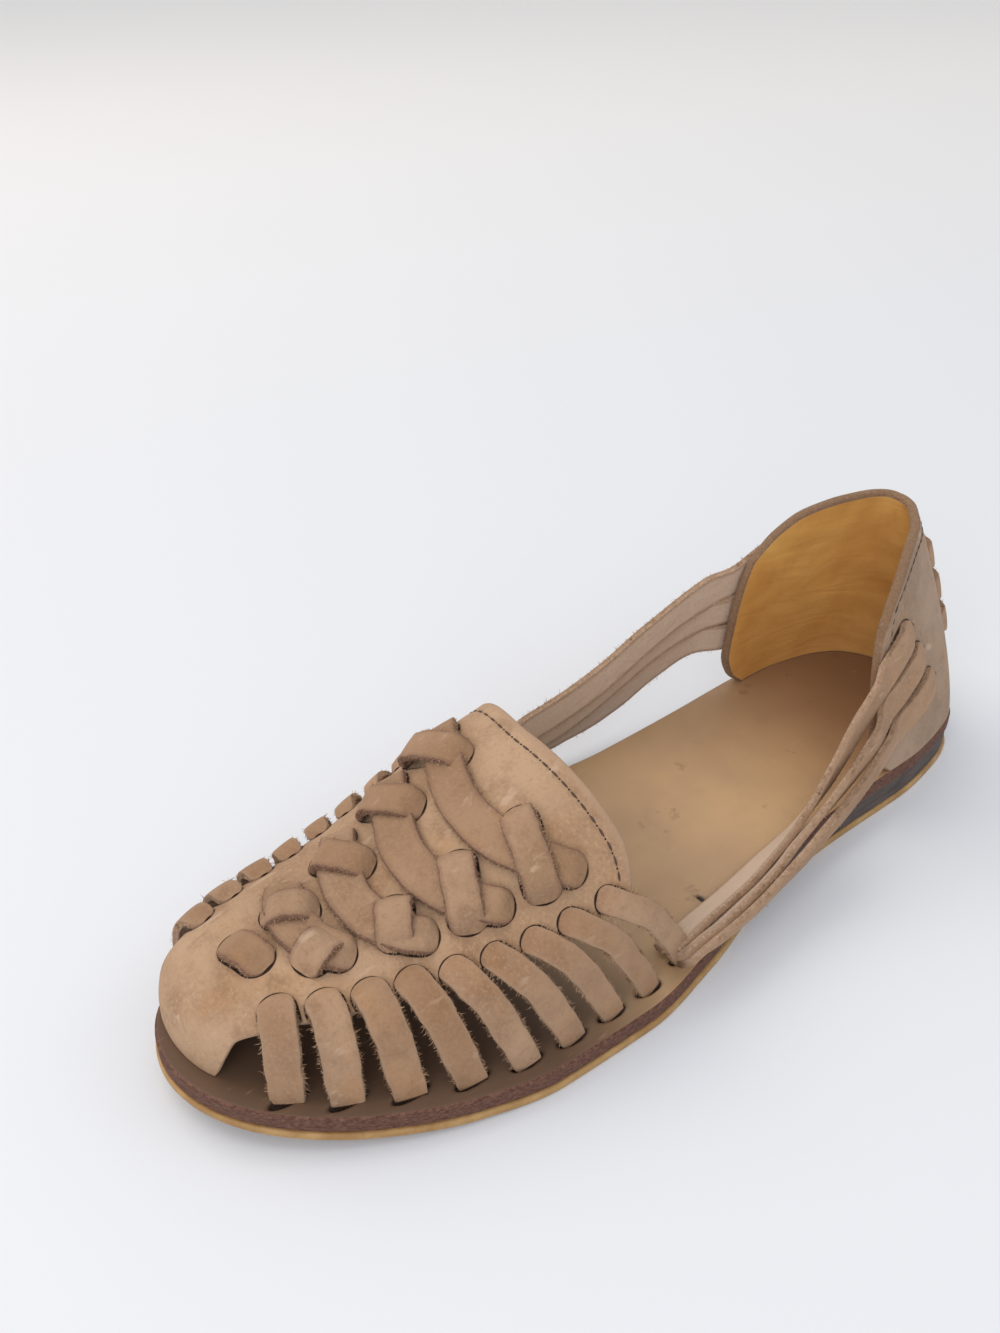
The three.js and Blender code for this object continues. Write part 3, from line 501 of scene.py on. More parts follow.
def ring_of_section(columns=9, corners=3):
    """Round the section of a strap: shares across and out for its flat sides, and the unit circle
    for its softened corners. Gives across, out, corner across, corner out."""
    flat = np.linspace(-1, 1, columns)
    turn = np.linspace(0, np.pi / 2, corners + 2)[1:-1]
    one = np.ones
    rows = [
        (flat, one(columns), 0 * flat, one(columns)),
        (one(corners), one(corners), np.sin(turn), np.cos(turn)),
        (one(1), one(1), one(1), 0 * one(1)),
        (one(1), -one(1), one(1), 0 * one(1)),
        (one(corners), -one(corners), np.cos(turn), -np.sin(turn)),
        (flat[::-1], -one(columns), 0 * flat, -one(columns)),
        (-one(corners), -one(corners), -np.sin(turn), -np.cos(turn)),
        (-one(1), -one(1), -one(1), 0 * one(1)),
        (-one(1), one(1), -one(1), 0 * one(1)),
        (-one(corners), one(corners), -np.cos(turn), np.sin(turn)),
    ]
    return [np.concatenate(column) for column in zip(*rows)]


def thong(name, route, outward, width, sunk, round_ends=(True, True), crown=0.15):
    """A leather strap: a rectangle with soft corners carried along the route. Its half width closes
    as a quarter ellipse at a round end, its edges wander a little, and its face is crowned. sunk
    is 0 where it lies open and 1 where it has gone into a slot."""
    count = len(route)
    run = unit(np.gradient(route, axis=0))
    out = unit(outward - run * dot(outward, run))
    side = np.cross(run, out)
    length = lengths(route)
    half = np.broadcast_to(np.asarray(width, float) / 2, (count,)).copy()
    full = half.copy()
    for end, from_end in zip(round_ends, (length, length[-1] - length)):
        if end:
            near = np.clip(1 - from_end / (full * TIP), 0, 1)
            half = half * np.sqrt(np.maximum(1 - near**2.3, 0.0009))
    thick = THONG / 2
    soft = np.minimum(STRAP_CORNER, half * 0.5)[:, None]
    across, outs, turned, raised = ring_of_section()
    left, right = (wander(count, EDGE_WANDER, 3)[:, None] for _ in range(2))
    ragged = np.where(across[None, :] > 0, left, right) * (np.abs(across) > 0.95)
    w = across * (half[:, None] - soft) + turned * soft + ragged * (1 - sunk)[:, None]
    bulge = crown * (1 - across**2) * (outs > 0)
    h = outs * (thick - soft) + raised * soft + bulge
    points = route[:, None] + side[:, None] * w[..., None] + out[:, None] * h[..., None]
    ring = points.shape[1]
    faces = grid_faces(count, ring, closed=True)
    faces += [list(range(ring))[::-1], list(range((count - 1) * ring, count * ring))]
    cut = np.clip(np.abs(across) * 4 - 3, 0, 1) * (1 - 0.5 * (outs > 0) * (raised > 0.95))
    marks = {
        "cut": np.broadcast_to(cut, points.shape[:2]),
        "under": np.broadcast_to((outs < 0) * 1.0, points.shape[:2]),
        # painted shade: the strap's end darkens where it goes into a slot
        "dark": np.broadcast_to(smooth(0.7, 1, sunk)[:, None], points.shape[:2]),
        "tint": np.full(points.shape[:2], RNG.uniform(-1, 1)),
    }
    THONGS.append((name, points.reshape(-1, 3), faces, marks))
    for sign in (-1, 1):
        edge = route + side * (sign * half)[:, None] + out * (thick * 0.5)
        open_air = (sunk < 0.3) & (half > full * 0.9)
        EDGES.append((edge[open_air], out[open_air], sign * side[open_air]))


def slot_at(wall, route, outward, end, width):
    """Notes the slot that a strap's end goes into: where, which way, how wide."""
    here, before = (route[0], route[3]) if end == 0 else (route[-1], route[-4])
    normal = outward[0] if end == 0 else outward[-1]
    ahead = unit(here - before)
    ahead = unit(ahead - normal * dot(ahead, normal))
    SLOTS[wall].append((here - ahead * width / 2 * TIP, ahead, width / 2 + 0.12, normal))


def dive(length, rise):
    """Height of a strap's middle over the face that it lies on: from nearly level with the face at
    either end up to lying on it, and how sunk it is there."""
    near = np.minimum(length, length[-1] - length)
    return -FLUSH + (THONG / 2 + GAP + FLUSH) * smooth(0, rise, near), 1 - smooth(0, 1.1, near)


def over_vamp_strap(name, plan, width, lifted=0.0, rise=STRAP_RISE, rolls=(0, 0)):
    """Strap over the vamp between two slots: a straight line or the polynomial through the plan
    points, laid on the arch, with the height of a dive at both ends and, where it crosses another,
    a flat-topped hump of lifted. rolls are the degrees that it turns over at either end."""
    plan = np.asarray(plan, float)
    t = np.linspace(0, 1, len(plan))
    dense = np.linspace(0, 1, 90)
    if len(plan) > 2:
        bend = np.polyfit(t, plan, len(plan) - 1)
        xy = sum(c * dense[:, None] ** (len(plan) - 1 - k) for k, c in enumerate(bend))
    else:
        xy = plan[0] + (plan[1] - plan[0]) * dense[:, None]
    angle = angle_at(xy[:, 0], xy[:, 1])
    base, normal = vamp_point(xy[:, 1], angle), vamp_normal(xy[:, 1], angle)
    base, normal = resample(base, STRAP_STEPS, normal)
    normal = unit(normal)
    length = lengths(base)
    height, sunk = dive(length, rise)
    share = length / length[-1]
    near = np.minimum(length, length[-1] - length)
    height = height + lifted * smooth(0.6, 5.4, near) + wander(STRAP_STEPS, 0.07, 1)
    route = base + normal * height[:, None]
    for end in (0, 1):
        slot_at("vamp", base, normal, end, np.asarray(width).ravel()[0 if end == 0 else -1])
    tilt = np.radians(np.interp(share, [0, 1], rolls))[:, None]
    side = np.cross(unit(np.gradient(base, axis=0)), normal)
    thong(name, route, normal * np.cos(tilt) + side * np.sin(tilt), width, sunk)


def woven_units():
    """The bands and their crossing loops."""
    for i, row in enumerate(WEAVE):
        number = len(WEAVE) - i
        t = np.linspace(-1, 1, STRAP_STEPS)
        over_vamp_strap(f"woven_band_{number}", row["band"], BAND_WIDTH - BAND_TAPER * t**2)
        for loop, side in zip(row["loops"], ("medial", "lateral")):
            over_vamp_strap(f"crossing_loop_{number}_{side}", loop, LOOP_WIDTH, lifted=CROSSING_LIFT,
                            rolls=RNG.uniform(-5, 5, 2))
    over_vamp_strap("toe_loop", TOE_LOOP, LOOP_WIDTH, rise=TOE_LOOP_RISE)


FEET = []  # where the side loops enter the footbed: x, y and half the width


def side_loops():
    """Thongs from the vamp's slots down over its lower edge: straight in y and angle over the arch,
    standing off it by half a sine wave, drawn towards the straight line to the foot, and then into
    the footbed's slot, square to the sole's edge. The route is evened out by running averages."""
    for i in range(len(SIDE_LOOPS["top"])):
        top, base = SIDE_LOOPS["top"][i], SIDE_LOOPS["base"][i]
        for side, sign in (("medial", -1), ("lateral", 1)):
            width = SIDE_LOOPS["width"][i] * LOOP_NARROWED[side]
            turn = (lambda a: a) if side == "medial" else (lambda a: 180 - a)
            t = np.linspace(0, LOOP_ON_ARCH, 22)
            y = top + (base - top) * t
            angle = turn(SIDE_LOOPS[side][i] + (FOOT_ANGLE - SIDE_LOOPS[side][i]) * t)
            on, normal = vamp_point(y, angle), vamp_normal(y, angle)
            height = -FLUSH + (THONG / 2 + GAP + FLUSH) * smooth(0, LOOP_RISE, lengths(on))
            height += LOOP_BULGE[side] * np.sin(np.pi * np.minimum(t / 0.9, 1)) ** 1.3
            arch = on + normal * height[:, None]
            x, floor = edge_at(base, side, LOOP_INSET[side]), footbed_top(base)
            foot = np.array([x, base, floor])
            begin = np.searchsorted(t, LOOP_LEAVES)
            along = ((t - t[begin]) / (1 - t[begin]))[:, None]
            pull = LOOP_PULL[side] * smooth(LOOP_LEAVES, 0.7, t)[:, None]
            arch = arch * (1 - pull) + (arch[begin] + (foot - arch[begin]) * along) * pull
            fall = unit(foot - arch[-1]) * (1, 1, 0.6) + (0, 0, -0.4)
            tuck = foot + fall * np.array(FOOT_STEPS)[:, None]
            slope = edge_at(base + 1, side) - edge_at(base - 1, side)
            facing = np.repeat(unit(np.array([[sign, -sign * slope / 2, 0]])), len(tuck), axis=0)
            route, outward = resample(
                np.concatenate([arch, tuck]), 70, np.concatenate([normal, facing])
            )
            outward = unit(outward)
            run = lengths(route)
            settled = smooth(4, 9, run)[1:-1, None]
            for _ in range(60):
                between = (route[:-2] + 2 * route[1:-1] + route[2:]) / 4
                route[1:-1] += (between - route[1:-1]) * settled
            sunk = 1 - smooth(0, 1.1, run)
            # below the footbed's face the side loop is painted dark as shade, as it is in the vamp's
            # slot
            buried = smooth(1.2, -1.2, route[:, 2] - floor)
            # the strap is a little off straight, as leather pulled through by hand is
            lean = np.radians(RNG.uniform(-4, 4)) * np.sin(np.pi * run / run[-1])[:, None]
            across = np.cross(unit(np.gradient(route, axis=0)), outward)
            outward = unit(outward * np.cos(lean) + across * np.sin(lean))
            slot_at("vamp", on, normal, 0, width)
            narrowed = width * (1 - 0.08 * smooth(0.7, 1, run / run[-1]))
            thong(f"side_loop_{side}_{i + 1}", route, outward, narrowed,
                  np.maximum(sunk, buried), round_ends=(True, False))
            FEET.append((x, base, width / 2))


def quarter_straps():
    """Straps that stand on edge from the vamp to the counter: smooth through their table, leaning
    by its angle, then over the counter's wall and into a slot."""
    for side, sign in (("lateral", 1), ("medial", -1)):
        for i, rows in enumerate(QUARTER_STRAPS[side]):
            free = np.stack([rows["x"], rows["y"], rows["z"]], axis=1)
            lean = np.radians(rows["lean"])
            facing = np.stack([sign * np.cos(lean), 0 * lean, -np.sin(lean)], axis=1)
            slot = np.array(COUNTER_SLOTS[side][i], float)
            way = slot - free[-1, 1:]
            span = np.linalg.norm(way)
            t = np.concatenate([OVER_WALL, 1 - np.array(TO_SLOT) / span])
            out = THONG / 2 + GAP + np.array(OFF_WALL)
            around, up = counter_place(free[-1, 1] + way[0] * t, free[-1, 2] + way[1] * t, sign)
            wall, normal = counter_point(around, up), counter_normal(around, up)
            route, outward = resample(
                np.concatenate([free, wall + normal * out[:, None]]), QUARTER_STEPS,
                np.concatenate([facing, normal]),
            )
            outward = unit(outward)
            length = lengths(route)
            width = QUARTER_WIDTH[side]
            slot_at("counter", wall, normal, 1, width)
            thong(f"quarter_strap_{side}_{i + 1}", route, outward,
                  width * (1 + wander(QUARTER_STEPS, 0.03, 2)),
                  1 - smooth(0, SINKS_OVER, length[-1] - length), round_ends=(False, True))


def back_thongs():
    """Short straps round the back of the counter, flush at both slots and proud between."""
    for i in range(len(BACK_THONGS["z"])):
        z, ends = BACK_THONGS["z"][i], BACK_THONGS["ends"][i]
        around = np.linspace(-ends, ends, 60)
        levels = np.linspace(0.3, 1, 200)
        up = np.interp(z, counter_point(0.0, levels)[:, 2], levels)
        base, normal = counter_point(around, up), counter_normal(around, up)
        height, sunk = dive(lengths(base), BACK_RISE)
        for end in (0, 1):
            slot_at("counter", base, normal, end, BACK_WIDTH)
        thong(f"back_thong_{i + 1}", base + normal * height[:, None], normal, BACK_WIDTH, sunk)


woven_units()
side_loops()
quarter_straps()
back_thongs()


# ------------------------------------------------------------------ walls with slots

VAMP_ROWS, VAMP_COLUMNS = 80, 65  # steps of the inner face; the outer one has four times as many
COUNTER_ROWS, COUNTER_COLUMNS = 46, 96
INNER_BORDER = 0.004  # share by which an inner face stays inside the outer one
PRESSED_IN, PUCKER, SLOT_SHADE_WIDTH = 0.9, 0.2, 0.42  # depth in a slot, rise beside it, width of the painted shade along its cut
FURROW = {"vamp": 0.22, "counter": 0.2}  # depth of the groove that the stitches draw in
INNER_CLEARANCE = 0.1  # of a wall's inner face over the footbed


def slotted(points, wall):
    """Works the slots into a wall's face: inside each slot's rounded outline the leather is pressed
    in, along the outline a narrow dark line is painted as the shade in the cut, and just outside it is
    a low pucker. The outline is half an ellipse ahead of the slot's centre, with straight sides that
    fade out behind. Gives the shift along the normal and the painted shade."""
    shift, dark = np.zeros(points.shape[:2]), np.zeros(points.shape[:2])
    for centre, ahead, half, normal in SLOTS[wall]:
        offset = points - centre
        s = offset @ ahead
        w = offset @ np.cross(ahead, normal)
        near = (np.abs(offset @ normal) < 7) & (np.abs(s) < 14) & (np.abs(w) < 9)
        radius = np.where(s > 0, np.hypot(s / TIP, w), np.abs(w))
        beyond = radius - half
        fade = smooth(-8, -2, s) * near
        pressed = smooth(0.1, -0.7, beyond) * fade
        pucker = np.exp(-(((beyond - 1.2) / 0.8) ** 2)) * fade
        shift = np.minimum(shift, -PRESSED_IN * pressed) + PUCKER * pucker
        # painted shade: a narrow dark line along the slot's outline, where the cut lies in shadow
        cut = np.exp(-((beyond / SLOT_SHADE_WIDTH) ** 2)) * smooth(-7, -0.5, s)
        dark = np.maximum(dark, cut * near)
    return shift, dark


def furrow(distance, at, half=0.55):
    """1 along a line of stitches at that distance from an edge, fading to 0 within half."""
    return np.exp(-(((distance - at) / half) ** 2))


def marked(values, rim, inner):
    """A wall's mark: the values on its outer face, one value on its rolled edges, 0 inside."""
    padded = np.pad(values, ROLL, constant_values=rim)
    return np.concatenate([padded.ravel(), np.zeros(inner.shape[0] * inner.shape[1])])


THROAT_STITCH_MARGIN = 3.5  # from the vamp's throat to its stitches
RIM_STITCH_MARGIN = 3.2
THROAT_PITCH, RIM_PITCH = 3.5, 3.3
STITCHED_FROM = 0.72  # height where the stitching up the counter's front edges begins
THROAT_COLUMNS, UNSEWN = 241, 8  # columns that the throat's line is found on, and left at its ends
COUNTER_RISE = 62.0  # of the counter over the footbed
RIM_CORNER = (0.942, 0.09, 0.05)  # of the rim's line: its share round, and the turn's rise and width
STITCH = (2.7, 0.6, 0.55)  # length, width, height
# a dark bead between stitches, painted shade for a needle hole: length, width, height
NEEDLE_HOLE_SHADE = (0.85, 0.8, 0.5)
FIBRES_PER_MM, FIBRE_THICK, LONGEST_FIBRE = 5.5, 0.075, 2.0


def vamp_grid(rows, columns, inset=0.0):
    """The vamp's outer face on a grid: rows from the throat to the nose, close together at the nose,
    columns from the medial to the lateral lower edge. inset draws the borders in, as a share."""
    u = inset + (1 - 1.3 * inset) * np.linspace(0, 1, rows)[:, None]
    v = inset + (1 - 2 * inset) * np.linspace(0, 1, columns)[None, :]
    guess = EDGE_REACH + (180 - 2 * EDGE_REACH) * v
    swung = THROAT_SWING * np.maximum(np.cos(np.radians(guess)), 0)
    corner = np.clip((guess - CORNER_FROM) / (180 - EDGE_REACH - CORNER_FROM), 0, 1)
    rear = THROAT_EDGE + swung - CORNER_CUT * corner**2
    y = NOSE + (rear - NOSE) * (1 - np.sin(u * np.pi / 2)) + 0 * v
    low = curve(VAMP_EDGE["y"], VAMP_EDGE["medial"], y)
    high = 180 - curve(VAMP_EDGE["y"], VAMP_EDGE["lateral"], y)
    return y, low + (high - low) * v


def vamp_piece(material, lining):
    """The vamp: slotted outer face, rolled edges and a plain inner face."""
    y, angle = vamp_grid(4 * VAMP_ROWS + 1, 4 * VAMP_COLUMNS + 1)
    outer, normals = vamp_point(y, angle), vamp_normal(y, angle)
    shift, dark = slotted(outer, "vamp")
    from_throat = np.linalg.norm(outer - outer[:1], axis=-1)
    line = furrow(from_throat, THROAT_STITCH_MARGIN)
    outer = outer + normals * (shift - FURROW["vamp"] * line)[..., None]
    outer = rolled_all_round(outer, normals, VAMP_WALL)
    y, angle = vamp_grid(VAMP_ROWS + 3, VAMP_COLUMNS + 3, inset=INNER_BORDER)
    inner = vamp_point(y, angle) - vamp_normal(y, angle) * VAMP_WALL
    inner[..., 2] = np.maximum(inner[..., 2], footbed_top(inner[..., 1]) + INNER_CLEARANCE)
    points, faces, inside = shell(outer, inner)
    edge = smooth(2.2, 0.3, from_throat) * 0.8
    # the dark mark is painted shade: the slots' cut lines, faintly the stitch furrow, and 0.15 on the
    # rolled edges
    marks = {"dark": marked(dark + 0.18 * line, 0.15, inner), "cut": marked(edge, 1.0, inner)}
    piece("vamp_leather", points, faces, ["vamp"], [material, lining], marks, inside)


def counter_piece(material, lining):
    """The heel counter: slotted outer face, a raw rim rolled over, and the lining inside, which
    has a few soft creases, sine waves that run round it and fade towards the rim."""
    around = np.linspace(-1, 1, 4 * COUNTER_COLUMNS + 1)[None, :]
    up = np.linspace(0, 1, 4 * COUNTER_ROWS + 1)[:, None]
    outer, normals = counter_point(around, up), counter_normal(around + 0 * up, up + 0 * around)
    shift, dark = slotted(outer, "counter")
    from_rim = np.linalg.norm(outer - outer[-1:], axis=-1)
    from_front = np.minimum(np.linalg.norm(outer - outer[:, :1], axis=-1),
                            np.linalg.norm(outer - outer[:, -1:], axis=-1))
    from_front = np.where(up > STITCHED_FROM, from_front, 99)
    line = furrow(np.minimum(from_rim, from_front), RIM_STITCH_MARGIN)
    outer = outer + normals * (shift - FURROW["counter"] * line)[..., None]
    outer = rolled_all_round(outer, normals, COUNTER_WALL)
    r = np.linspace(INNER_BORDER - 1, 1 - INNER_BORDER, COUNTER_COLUMNS + 3)[None, :]
    u = np.linspace(INNER_BORDER, 0.994, COUNTER_ROWS + 3)[:, None]
    crease = np.sin(u * 26 + 3 * np.sin(r * 3.1) + 1) * np.exp(-((r / 0.55) ** 2))
    crease = crease * smooth(0.95, 0.6, u) * smooth(0.1, 0.4, u) * 0.35
    inside_normal = counter_normal(r + 0 * u, u + 0 * r)
    inner = counter_point(r, u) - inside_normal * (COUNTER_WALL + crease)[..., None]
    inner[..., 2] = np.maximum(inner[..., 2], footbed_top(inner[..., 1]) + INNER_CLEARANCE)
    points, faces, inside = shell(outer, inner)
    # the dark mark is painted shade: the slots' cut lines and, faintly, the stitch furrow
    marks = {"dark": marked(dark + 0.15 * line, 0.0, inner),
             "cut": marked(smooth(1.2, 0.2, from_rim), 1.0, inner)}
    piece("counter_leather", points, faces, ["heel_counter"], [material, lining],
          marks, inside)


# ------------------------------------------------------------------ stitches and fibres

def beads(centres, along, outward, long, wide, high):
    """Small closed capsules, one at each centre: an ellipsoid of 8 by 5 points with that length,
    width and height. Gives points and faces."""
    turn = np.linspace(0, 2 * np.pi, 8, endpoint=False)
    rise = np.linspace(-1, 1, 5)
    ring = np.sqrt(np.maximum(1 - rise**2, 0.0025))
    a = np.broadcast_to(rise[:, None] * long / 2, (5, 8)).ravel()
    b = (ring[:, None] * np.cos(turn)).ravel() * wide / 2
    c = (ring[:, None] * np.sin(turn)).ravel() * high / 2
    side = np.cross(along, outward)
    points = (
        centres[:, None] + along[:, None] * a[:, None] + side[:, None] * b[:, None]
        + outward[:, None] * c[:, None]
    )
    step = np.arange(len(centres))[:, None, None] * 40
    sides = (np.array(grid_faces(5, 8, closed=True)) + step).reshape(-1, 4)
    caps = (np.array([range(8), range(32, 40)]) + step).reshape(-1, 8)
    return points.reshape(-1, 3), sides.tolist() + caps.tolist()


def stitch_line(points, normals, pitch):
    """Centres, directions and normals of stitches spaced by pitch along a line."""
    centres, normals = resample(points, int(lengths(points)[-1] / pitch), normals)
    return centres, unit(np.gradient(centres, axis=0)), unit(normals)


def stitches(material):
    """Thread along the throat of the vamp, and up the counter's front edges and round its rim, by
    way of a quarter turn at each corner. Between every two stitches lies a near-black bead, painted
    shade for a needle hole."""
    y, angle = vamp_grid(281, THROAT_COLUMNS)
    face, normals = vamp_point(y, angle), vamp_normal(y, angle)
    row = np.argmin(np.abs(np.linalg.norm(face - face[:1], axis=-1) - THROAT_STITCH_MARGIN), axis=0)
    j = np.arange(UNSEWN, THROAT_COLUMNS - UNSEWN)
    throat = stitch_line(face[row[j], j], normals[row[j], j], THROAT_PITCH)
    turn = np.linspace(0, np.pi / 2, 9)
    side, round_up, round_in = RIM_CORNER
    level = 1 - RIM_STITCH_MARGIN / COUNTER_RISE
    corner = np.stack([side - round_in * (1 - np.cos(turn)), level - round_up * (1 - np.sin(turn))])
    climb = np.stack([np.full(12, side), np.linspace(STITCHED_FROM, level - round_up, 12)])
    half = np.concatenate([climb[:, :-1], corner], axis=1)
    across = np.linspace(half[0, -1], -half[0, -1], 200)[1:-1]
    around = np.concatenate([half[0], across, -half[0, ::-1]])
    up = np.concatenate([half[1], np.full(len(across), level), half[1, ::-1]])
    rim = stitch_line(counter_point(around, up), counter_normal(around, up), RIM_PITCH)
    for name, (centres, along, outward) in (("throat_stitches", throat), ("rim_stitches", rim)):
        stitch, faces = beads(centres - outward * 0.14, along, outward, *STITCH)
        # near-black beads between the stitches: painted shade for the needle holes
        middle = (centres[1:] + centres[:-1]) / 2 - outward[1:] * 0.3
        hole_shade, more = beads(middle, along[1:], outward[1:], *NEEDLE_HOLE_SHADE)
        faces += [[point + len(stitch) for point in face] for face in more]
        dark = np.concatenate([np.zeros(len(stitch)), np.ones(len(hole_shade))])
        piece(name, np.concatenate([stitch, hole_shade]), faces, [], [material],
              {"dark": dark})


def fibres(material):
    """Loose fibres on the cut edges of the thongs: thin closed spikes of three sides, each from a
    random place on an edge outwards in a random direction, mostly 0.4 to 1.3 mm long."""
    starts, ways = [], []
    for points, out, side in EDGES:
        if len(points) < 4:
            continue
        count = int(lengths(points)[-1] * FIBRES_PER_MM)
        at = RNG.uniform(0, len(points) - 1.001, count)
        i, f = at.astype(int), (at % 1)[:, None]
        spot = points[i] * (1 - f) + points[i + 1] * f
        spread = RNG.normal(0, 1, (count, 3))
        way = unit(side[i] * 1.1 + out[i] * RNG.uniform(-0.6, 0.9, (count, 1)) + spread * 0.55)
        size = RNG.gamma(2.4, 0.24, (count, 1)) + 0.2
        starts.append(spot + out[i] * RNG.uniform(-1.2, 0.4, (count, 1)) - side[i] * 0.12)
        ways.append(way * np.minimum(size, LONGEST_FIBRE))
    start, way = np.concatenate(starts), np.concatenate(ways)
    side = unit(np.cross(way, RNG.normal(0, 1, way.shape)))
    other = unit(np.cross(way, side))
    thin = FIBRE_THICK
    bend = way * 0.55 + side * np.linalg.norm(way, axis=1, keepdims=True) * 0.12
    points = np.stack([
        start + side * thin, start - side * thin * 0.5 + other * thin,
        start - side * thin * 0.5 - other * thin,
        start + bend + side * thin * 0.7, start + bend - side * thin * 0.35 + other * thin * 0.7,
        start + bend - side * thin * 0.35 - other * thin * 0.7,
        start + way,
    ], axis=1)
    one = np.array([(0, 1, 4, 3), (1, 2, 5, 4), (2, 0, 3, 5)])
    caps = np.array([(0, 2, 1), (3, 4, 6), (4, 5, 6), (5, 3, 6)])
    step = np.arange(len(start))[:, None, None] * 7
    faces = (one + step).reshape(-1, 4).tolist() + (caps + step).reshape(-1, 3).tolist()
    piece("loose_fibres", points.reshape(-1, 3), faces, [], [material])


# ------------------------------------------------------------------ materials

def linear(hex_colour):
    """sRGB hex to linear RGBA."""
    channels = [int(hex_colour[i : i + 2], 16) / 255 for i in (1, 3, 5)]
    return [c / 12.92 if c <= 0.04045 else ((c + 0.055) / 1.055) ** 2.4 for c in channels] + [1]


def per(millimetres):
    """Scale of a pattern on Object coordinates, in metres, whose features are that far apart."""
    return 1 / (millimetres * MM)


def add(tree, kind, inputs=None, **settings):
    """Adds one node with its settings; each input is a value, a hex colour, or the socket that
    feeds it."""
    made = tree.nodes.new("ShaderNode" + kind)
    for key, value in settings.items():
        setattr(made, key, value)
    for key, value in (inputs or {}).items():
        if isinstance(value, bpy.types.NodeSocket):
            tree.links.new(value, made.inputs[key])
        else:
            made.inputs[key].default_value = linear(value) if isinstance(value, str) else value
    return made


def blank(name):
    """A new material: its tree, its shader, and the Object coordinates."""
    material = bpy.data.materials.new(name)
    material.use_nodes = True
    tree = material.node_tree
    shader = tree.nodes["Principled BSDF"]
    return material, tree, shader, add(tree, "TexCoord").outputs["Object"]


def stained(tree, colour, stain, value, low, high, most=1.0):
    """The colour with a stain over it where a value is high: none at low, most at high, along a
    smooth step."""
    amount = add(tree, "MapRange", {"Value": value, "From Min": low, "From Max": high, "To Max": most},
                 interpolation_type="SMOOTHSTEP")
    return add(tree, "Mix", {0: amount.outputs[0], 6: colour, 7: stain}, data_type="RGBA").outputs[2]


def clouded(tree, colour, stain, where, millimetres, low, high, most=1.0, detail=5.0, rough=0.6,
            warp=0.0):
    """The colour stained in clouds that are that many millimetres apart."""
    clouds = add(tree, "TexNoise", {"Vector": where, "Scale": per(millimetres), "Detail": detail,
                                    "Roughness": rough, "Distortion": warp})
    return stained(tree, colour, stain, clouds.outputs["Fac"], low, high, most)


def carved(tree, shader, *reliefs):
    """Gives the shader its relief: each is a height, its strength and its depth in metres."""
    under = None
    for height, strength, depth in reliefs:
        relief = add(tree, "Bump", {"Height": height, "Strength": strength, "Distance": depth})
        if under:
            tree.links.new(under.outputs[0], relief.inputs["Normal"])
        under = relief
    tree.links.new(under.outputs[0], shader.inputs["Normal"])


def finished(material, tree, shader, colour, **constants):
    """Links the colour and sets the shader's own sockets, named with _ for a space."""
    tree.links.new(colour, shader.inputs["Base Color"])
    for name, value in constants.items():
        shader.inputs[name.replace("_", " ")].default_value = value
    return material


def nubuck(name, pale, mid, deep, cut, nap_mm, flesh=None, scar="#CBB096"):
    """Nubuck: full-grain leather buffed to a short nap, which scatters light softly. It shows as
    cloudy tan with finer mottling, a fine velvety nap, faint pale rubs and browner raw cut edges,
    with near-black painted shade in the slots and on a strap's end where it goes in."""
    material, tree, shader, where = blank(name)
    nap = add(tree, "TexNoise", {"Vector": where, "Scale": per(nap_mm), "Detail": 6,
                                 "Roughness": 0.72}).outputs["Fac"]
    colour = clouded(tree, mid, pale, where, 26, 0.36, 0.66, detail=3, rough=0.5, warp=0.4)
    colour = clouded(tree, colour, "#B5865A", where, 17, 0.5, 0.72, 0.4, detail=4)
    colour = clouded(tree, colour, deep, where, 7, 0.46, 0.78, 0.62)
    colour = stained(tree, colour, pale, nap, 0.5, 0.66, 0.75)
    colour = stained(tree, colour, deep, nap, 0.48, 0.3, 0.4)
    stretched = add(tree, "Mapping", {"Vector": where, "Rotation": (0.2, 0.1, 0.6),
                                      "Scale": (1, 0.16, 1)}).outputs[0]
    colour = clouded(tree, colour, scar, stretched, 3.6, 0.64, 0.74, 0.5, 3, 0.5)
    pits = add(tree, "TexVoronoi", {"Vector": where, "Scale": per(2.6), "Randomness": 1.0})
    colour = stained(tree, colour, deep, pits.outputs["Distance"], 0.16, 0.05, 0.1)
    if flesh:
        tint = add(tree, "Attribute", attribute_name="tint").outputs["Fac"]
        under = add(tree, "Attribute", attribute_name="under").outputs["Fac"]
        colour = stained(tree, colour, "#8F6A49", tint, -1, 1, 0.42)
        colour = stained(tree, colour, flesh, under, 0.3, 0.9)
    edge = add(tree, "Attribute", attribute_name="cut").outputs["Fac"]
    frayed = clouded(tree, colour, cut, where, 0.7, 0.15, 0.6, 1, 5, 0.7)
    colour = add(tree, "Mix", {0: edge, 6: colour, 7: frayed}, data_type="RGBA").outputs[2]
    # painted shade: near-black in the slots' cuts and on a strap's end where it goes in
    slot_shade = add(tree, "Attribute", attribute_name="dark").outputs["Fac"]
    colour = stained(tree, colour, "#2E1B11", slot_shade, 0.18, 0.62)
    tufts = add(tree, "TexNoise", {"Vector": where, "Scale": per(nap_mm * 3.2), "Detail": 3})
    fuzz = add(tree, "Math", {0: nap, 1: tufts.outputs["Fac"]}, operation="ADD")
    creases = add(tree, "TexNoise", {"Vector": where, "Scale": per(4.5), "Detail": 5,
                                     "Distortion": 0.6})
    carved(tree, shader, (fuzz.outputs[0], 0.85, 0.0004), (creases.outputs["Fac"], 0.5, 0.0009))
    dull = add(tree, "MapRange", {"Value": nap, "From Min": 0.3, "From Max": 0.7, "To Min": 0.74,
                                  "To Max": 0.94})
    tree.links.new(dull.outputs[0], shader.inputs["Roughness"])
    return finished(material, tree, shader, colour, IOR=1.45, Specular_IOR_Level=0.28,
                    Sheen_Weight=0.16, Sheen_Roughness=0.5, Sheen_Tint=linear("#E9D3BC"))


